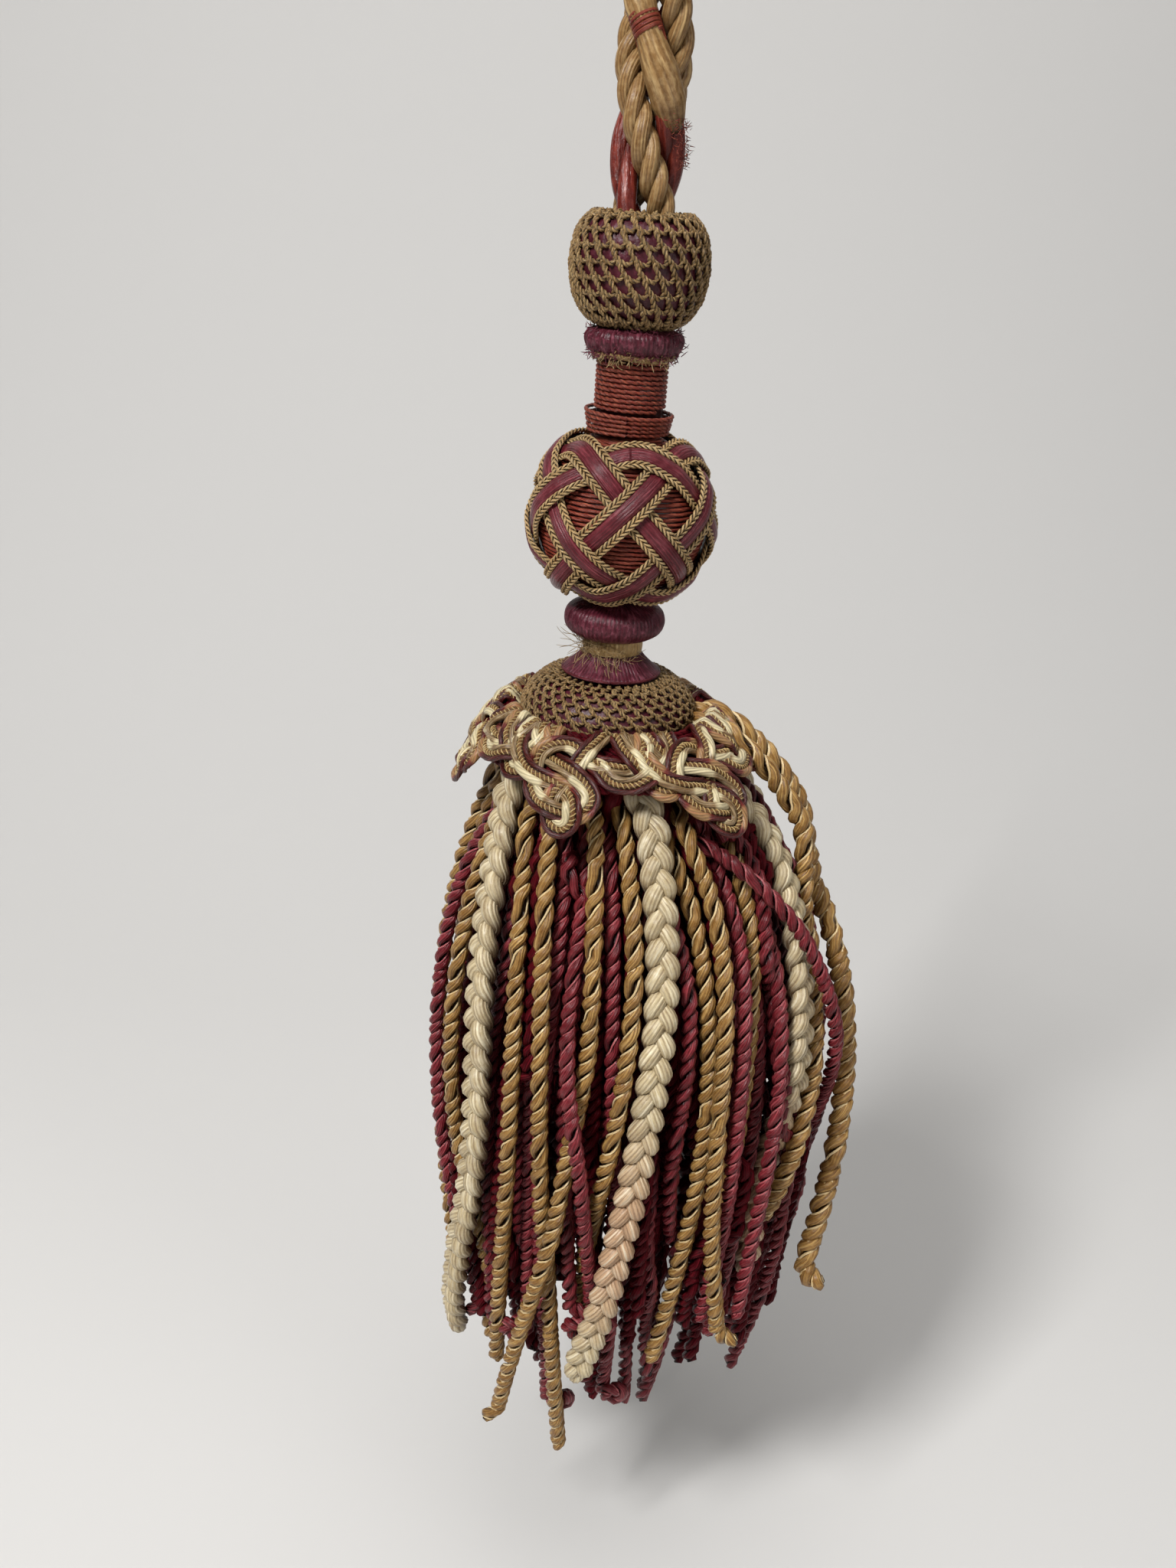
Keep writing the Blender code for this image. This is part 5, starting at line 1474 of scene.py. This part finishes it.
# %% One repeat of the trim
TRIM = {
    "lobe": [(-17, .8, 0), (-15.5, 4, .5), (-10, 8, -1), (-4, 10.2, 0), (3, 12.2, 1), (9, 14.6, 0),
             (11.4, 17.8, 0), (9.6, 20.9, 0), (5.4, 22.4, -1), (1, 22.8, 0), (-3.4, 22.3, 1), (-8, 20.9, 0),
             (-11.2, 18, 0), (-12.6, 13.8, -1), (-11.4, 9.6, .6), (-6.5, 6.4, 1), (1, 5, 0), (8, 6.6, -1),
             (13, 8.9, 0), (20, 9.5, 0), (26, 9.2, -1), (31, 7.4, 0), (34.4, 4.4, .6), (36.4, .8, 0)],
    "loop": [(-23, .8, 0), (-23.5, 5, .3), (-21.8, 9.6, 1), (-17.5, 12.8, .6), (-11.5, 14.7, 1),
             (-4, 15.4, 0), (.6, 16.2, -1), (3.8, 18.2, 0), (5.2, 21.4, 1), (4.6, 24.6, .3), (1.4, 26.9, 0),
             (-2.2, 26.2, 0), (-3.6, 23, -1), (-2.4, 18.6, 0), (1.4, 14.2, -1), (4.6, 10.2, 0),
             (8.4, 6.8, 1), (12.5, 3.4, .3), (16, .9, 0)],
    "upper_scallop": [(50, .9, 0), (48.5, 5, 0), (44.5, 8.6, 0), (39.4, 10.6, -1), (33, 12.8, 1),
                      (26, 14.4, .3), (19, 14, 0), (14.4, 11.2, 0), (10.4, 8, -1)],
    "lower_scallop": [(47, 13.2, -1), (43, 15.2, -.5), (38, 16, 0), (33.8, 13.8, -1), (30.8, 10.8, 0),
                      (28, 8.2, 1), (25, 5, .3), (23.6, 2.6, 0), (22.6, .8, 0)],
}

# %% Lines on the shoulder
def bed_point(azimuth, down, height):
    """The point at a distance down the shoulder, and at a height square to the bed of the trim."""
    rows = np.array(TRIM_BED)
    gone = np.concatenate([[0.0], np.cumsum(np.hypot(np.diff(rows[:, 0]), np.diff(rows[:, 1])))])
    depth = np.interp(down, gone, rows[:, 0])
    ahead, behind = (np.interp(down + step, gone, rows[:, 0]) for step in (2.0, -2.0))
    run = np.interp(ahead, rows[:, 0], rows[:, 1]) - np.interp(behind, rows[:, 0], rows[:, 1])
    slope = math.atan2(ahead - behind, run)
    radius = np.interp(depth, rows[:, 0], rows[:, 1])
    middle = np.interp(depth, rows[:, 0], rows[:, 2])
    return around(radius + height * math.sin(slope), azimuth, depth - height * math.cos(slope), middle)


def trim_line(rows, turn, across, up=0.0):
    """One cord of the gimp along a line of the table, moved across the gimp. Its ends go in under the net."""
    line = rounded(rows, 6)
    line[:, 0] += turn
    line[:, 2] = TRIM_LIFT + up + TRIM_RISE * (1.0 + np.clip(line[:, 2], -1.0, 1.0))
    flank = (line[:, 0] + 180.0) % 360.0 - 180.0
    line[:, 2] += np.interp(flank, *zip(*TRIM_SINK)) * np.clip(line[:, 1] / 12.0, 0.0, 1.0)
    places = np.array([bed_point(*row) for row in line])
    lifted = np.array([bed_point(a, d, h + 1.0) for a, d, h in line])
    out = lifted - places
    out /= np.linalg.norm(out, axis=1, keepdims=True)
    ahead = np.gradient(places, axis=0)
    side = np.cross(ahead, out)
    side /= np.linalg.norm(side, axis=1, keepdims=True)
    route = places + side * (across * MM)
    if line[0, 1] < 3.0:
        route = np.concatenate([[around(TUCK[0], line[0, 0], TUCK[1])], route])
    if line[-1, 1] < 3.0:
        route = np.concatenate([route, [around(TUCK[0], line[-1, 0], TUCK[1])]])
    return route


def gimp(across, up=0.0):
    return [trim_line(rows, TRIM_TURN + 60.0 * k + TRIM_NUDGE[k], across, up) for k in range(REPEATS)
            for rows in TRIM.values()]

# %% Swelling of the wrapped yarns
def swollen(routes, every, share, thin, shift):
    """Thickness along the routes: full over a share of each length, and thin between."""
    values = []
    for number, route in enumerate(routes):
        gone = np.concatenate([[0.0], np.cumsum(np.linalg.norm(np.diff(route, axis=0), axis=1))])
        wave = np.cos(2.0 * math.pi * (gone / (every * MM) + shift + 0.37 * number))
        full = np.clip((wave - math.cos(math.pi * share)) * 2.0 + 0.5, 0.0, 1.0)
        values.append(thin + (1.0 - thin) * full * full * (3.0 - 2.0 * full))
    return values

# %% Cream cord of the trim
cream_lines = [resampled(route, 1.0 * MM) for route in gimp(1.62)]
cream_thick = swollen(cream_lines, 19.0, 0.5, 0.74, 0.2)
trim_cream = grow("trim_cream_cord", cream_lines, TRIM_CREAM, thick=cream_thick, plies=1,
                  ply_radius=1.08 * MM, lay_radius=0.0, step=0.8 * MM, sides=12, yarns=4,
                  yarn_depth=0.07, yarn_twist=-260.0, uneven=0.12, wander=0.0)
finish_piece(trim_cream, "looped_trim", "gimp_trim")

# %% Crinkled brown cord of the trim
middle_lines = gimp(0.0)
trim_parts = [grow("trim_middle", middle_lines, TRIM_BROWN, plies=1, ply_radius=0.7 * MM, lay_radius=0.0,
                   step=0.9 * MM, sides=8, yarns=4, yarn_depth=0.06, yarn_twist=-700.0, uneven=0.1,
                   wander=0.0),
              grow("trim_crinkle", middle_lines, TRIM_EDGE, plies=2, ply_radius=0.18 * MM,
                   lay_radius=0.74 * MM, pitch=2.4 * MM, step=0.36 * MM, sides=4, yarns=1, yarn_depth=0.0,
                   yarn_twist=0.0, uneven=0.2, wander=0.2),
              # Dark yarns either side of the middle cord, also painted shade in the grooves between the
              # cords.
              grow("trim_outline", gimp(0.86, -0.1) + gimp(-0.9, -0.1), TRIM_DARK, plies=1,
                   ply_radius=0.3 * MM, lay_radius=0.0, step=1.1 * MM, sides=5, yarns=1, yarn_depth=0.0,
                   yarn_twist=0.0, wander=0.0)]
finish_piece(joined("trim_brown_cord", trim_parts), "looped_trim")

# %% Burgundy cord of the trim and its heading
red_lines = [resampled(route, 1.0 * MM) for route in gimp(-1.58)]
trim_red = grow("trim_red", red_lines, TRIM_RED, thick=swollen(red_lines, 31.0, 0.22, 0.62, 0.6), plies=1,
                ply_radius=1.08 * MM, lay_radius=0.0, step=0.8 * MM, sides=10, yarns=3, yarn_depth=0.07,
                yarn_twist=-420.0, uneven=0.12, wander=0.0)
heading_rows = [np.array([around(r, a, d) for a in range(0, 360, 5)])
                for r, d in ((22.8, 126.0), (24.2, 124.9))]
heading_rows += [np.array([bed_point(a, down, HEADING_HEIGHT) for a in range(0, 360, 5)])
                 for down in np.arange(0.4, 15.0, 1.45)]
# The heading takes the shaded burgundy finish, as painted shade under the loops of the trim.
heading = grow("trim_heading", heading_rows, INNER, closed=True, plies=2, ply_radius=0.62 * MM,
               lay_radius=0.45 * MM, pitch=4.0 * MM, step=0.8 * MM, sides=6, yarns=1, yarn_depth=0.0,
               yarn_twist=0.0, uneven=0.2, wander=0.3)
finish_piece(joined("trim_burgundy_cord", [trim_red, heading]), "looped_trim")

# %% [markdown]
# ## Floor and light
# A plain pale floor curves up into a plain backdrop, and soft lights stand round the tassel: a key from
# the upper left, a fill from the right and a light on the backdrop from above. A lit world alone would
# leave the twisted cords flat, so it is kept faint.

# %% Floor
def make_floor():
    mesh = bpy.data.meshes.new("floor")
    rows = [(-3.0, 0.0), (0.3, 0.0)] + [(0.3 + 0.7 * math.sin(a), 0.7 - 0.7 * math.cos(a))
                                        for a in np.linspace(0.1, math.pi / 2.0, 14)] + [(1.0, 3.2)]
    floor_z = -0.50
    points = [(x, y, floor_z + z) for y, z in rows for x in (-4.0, 4.0)]
    faces = [(2 * k, 2 * k + 1, 2 * k + 3, 2 * k + 2) for k in range(len(rows) - 1)]
    mesh.from_pydata(points, [], faces)
    for face in mesh.polygons:
        face.use_smooth = True
    material = bpy.data.materials.new("pale floor")
    material.use_nodes = True
    shader = material.node_tree.nodes["Principled BSDF"]
    shader.inputs["Base Color"].default_value = rgb(214, 212, 209)
    shader.inputs["Roughness"].default_value = 0.9
    mesh.materials.append(material)
    add_object("floor", mesh)

# %% Lights
def make_light(name, place, target, size, power):
    data = bpy.data.lights.new(name, "AREA")
    data.shape = "SQUARE"
    data.size = size
    data.energy = power
    made = add_object(name, data)
    made.location = place
    made.rotation_euler = (Vector(target) - Vector(place)).to_track_quat("-Z", "Y").to_euler()


def make_world():
    world = bpy.data.worlds.new("studio")
    world.use_nodes = True
    world.node_tree.nodes["Background"].inputs["Color"].default_value = rgb(226, 228, 232)
    world.node_tree.nodes["Background"].inputs["Strength"].default_value = 0.13
    bpy.context.scene.world = world


make_floor()
make_world()
make_light("key", (-0.6, -0.8, 0.8), (0.0, 0.0, -0.22), 0.3, 21.5)
make_light("fill", (0.9, -0.7, 0.1), (0.0, 0.0, -0.22), 0.6, 2.6)
make_light("wall", (0.0, -0.2, 1.3), (0.0, 0.7, -0.2), 1.0, 9.0)
print("lights:", len(bpy.data.lights))
bpy.context.scene.view_settings.view_transform = "Standard"
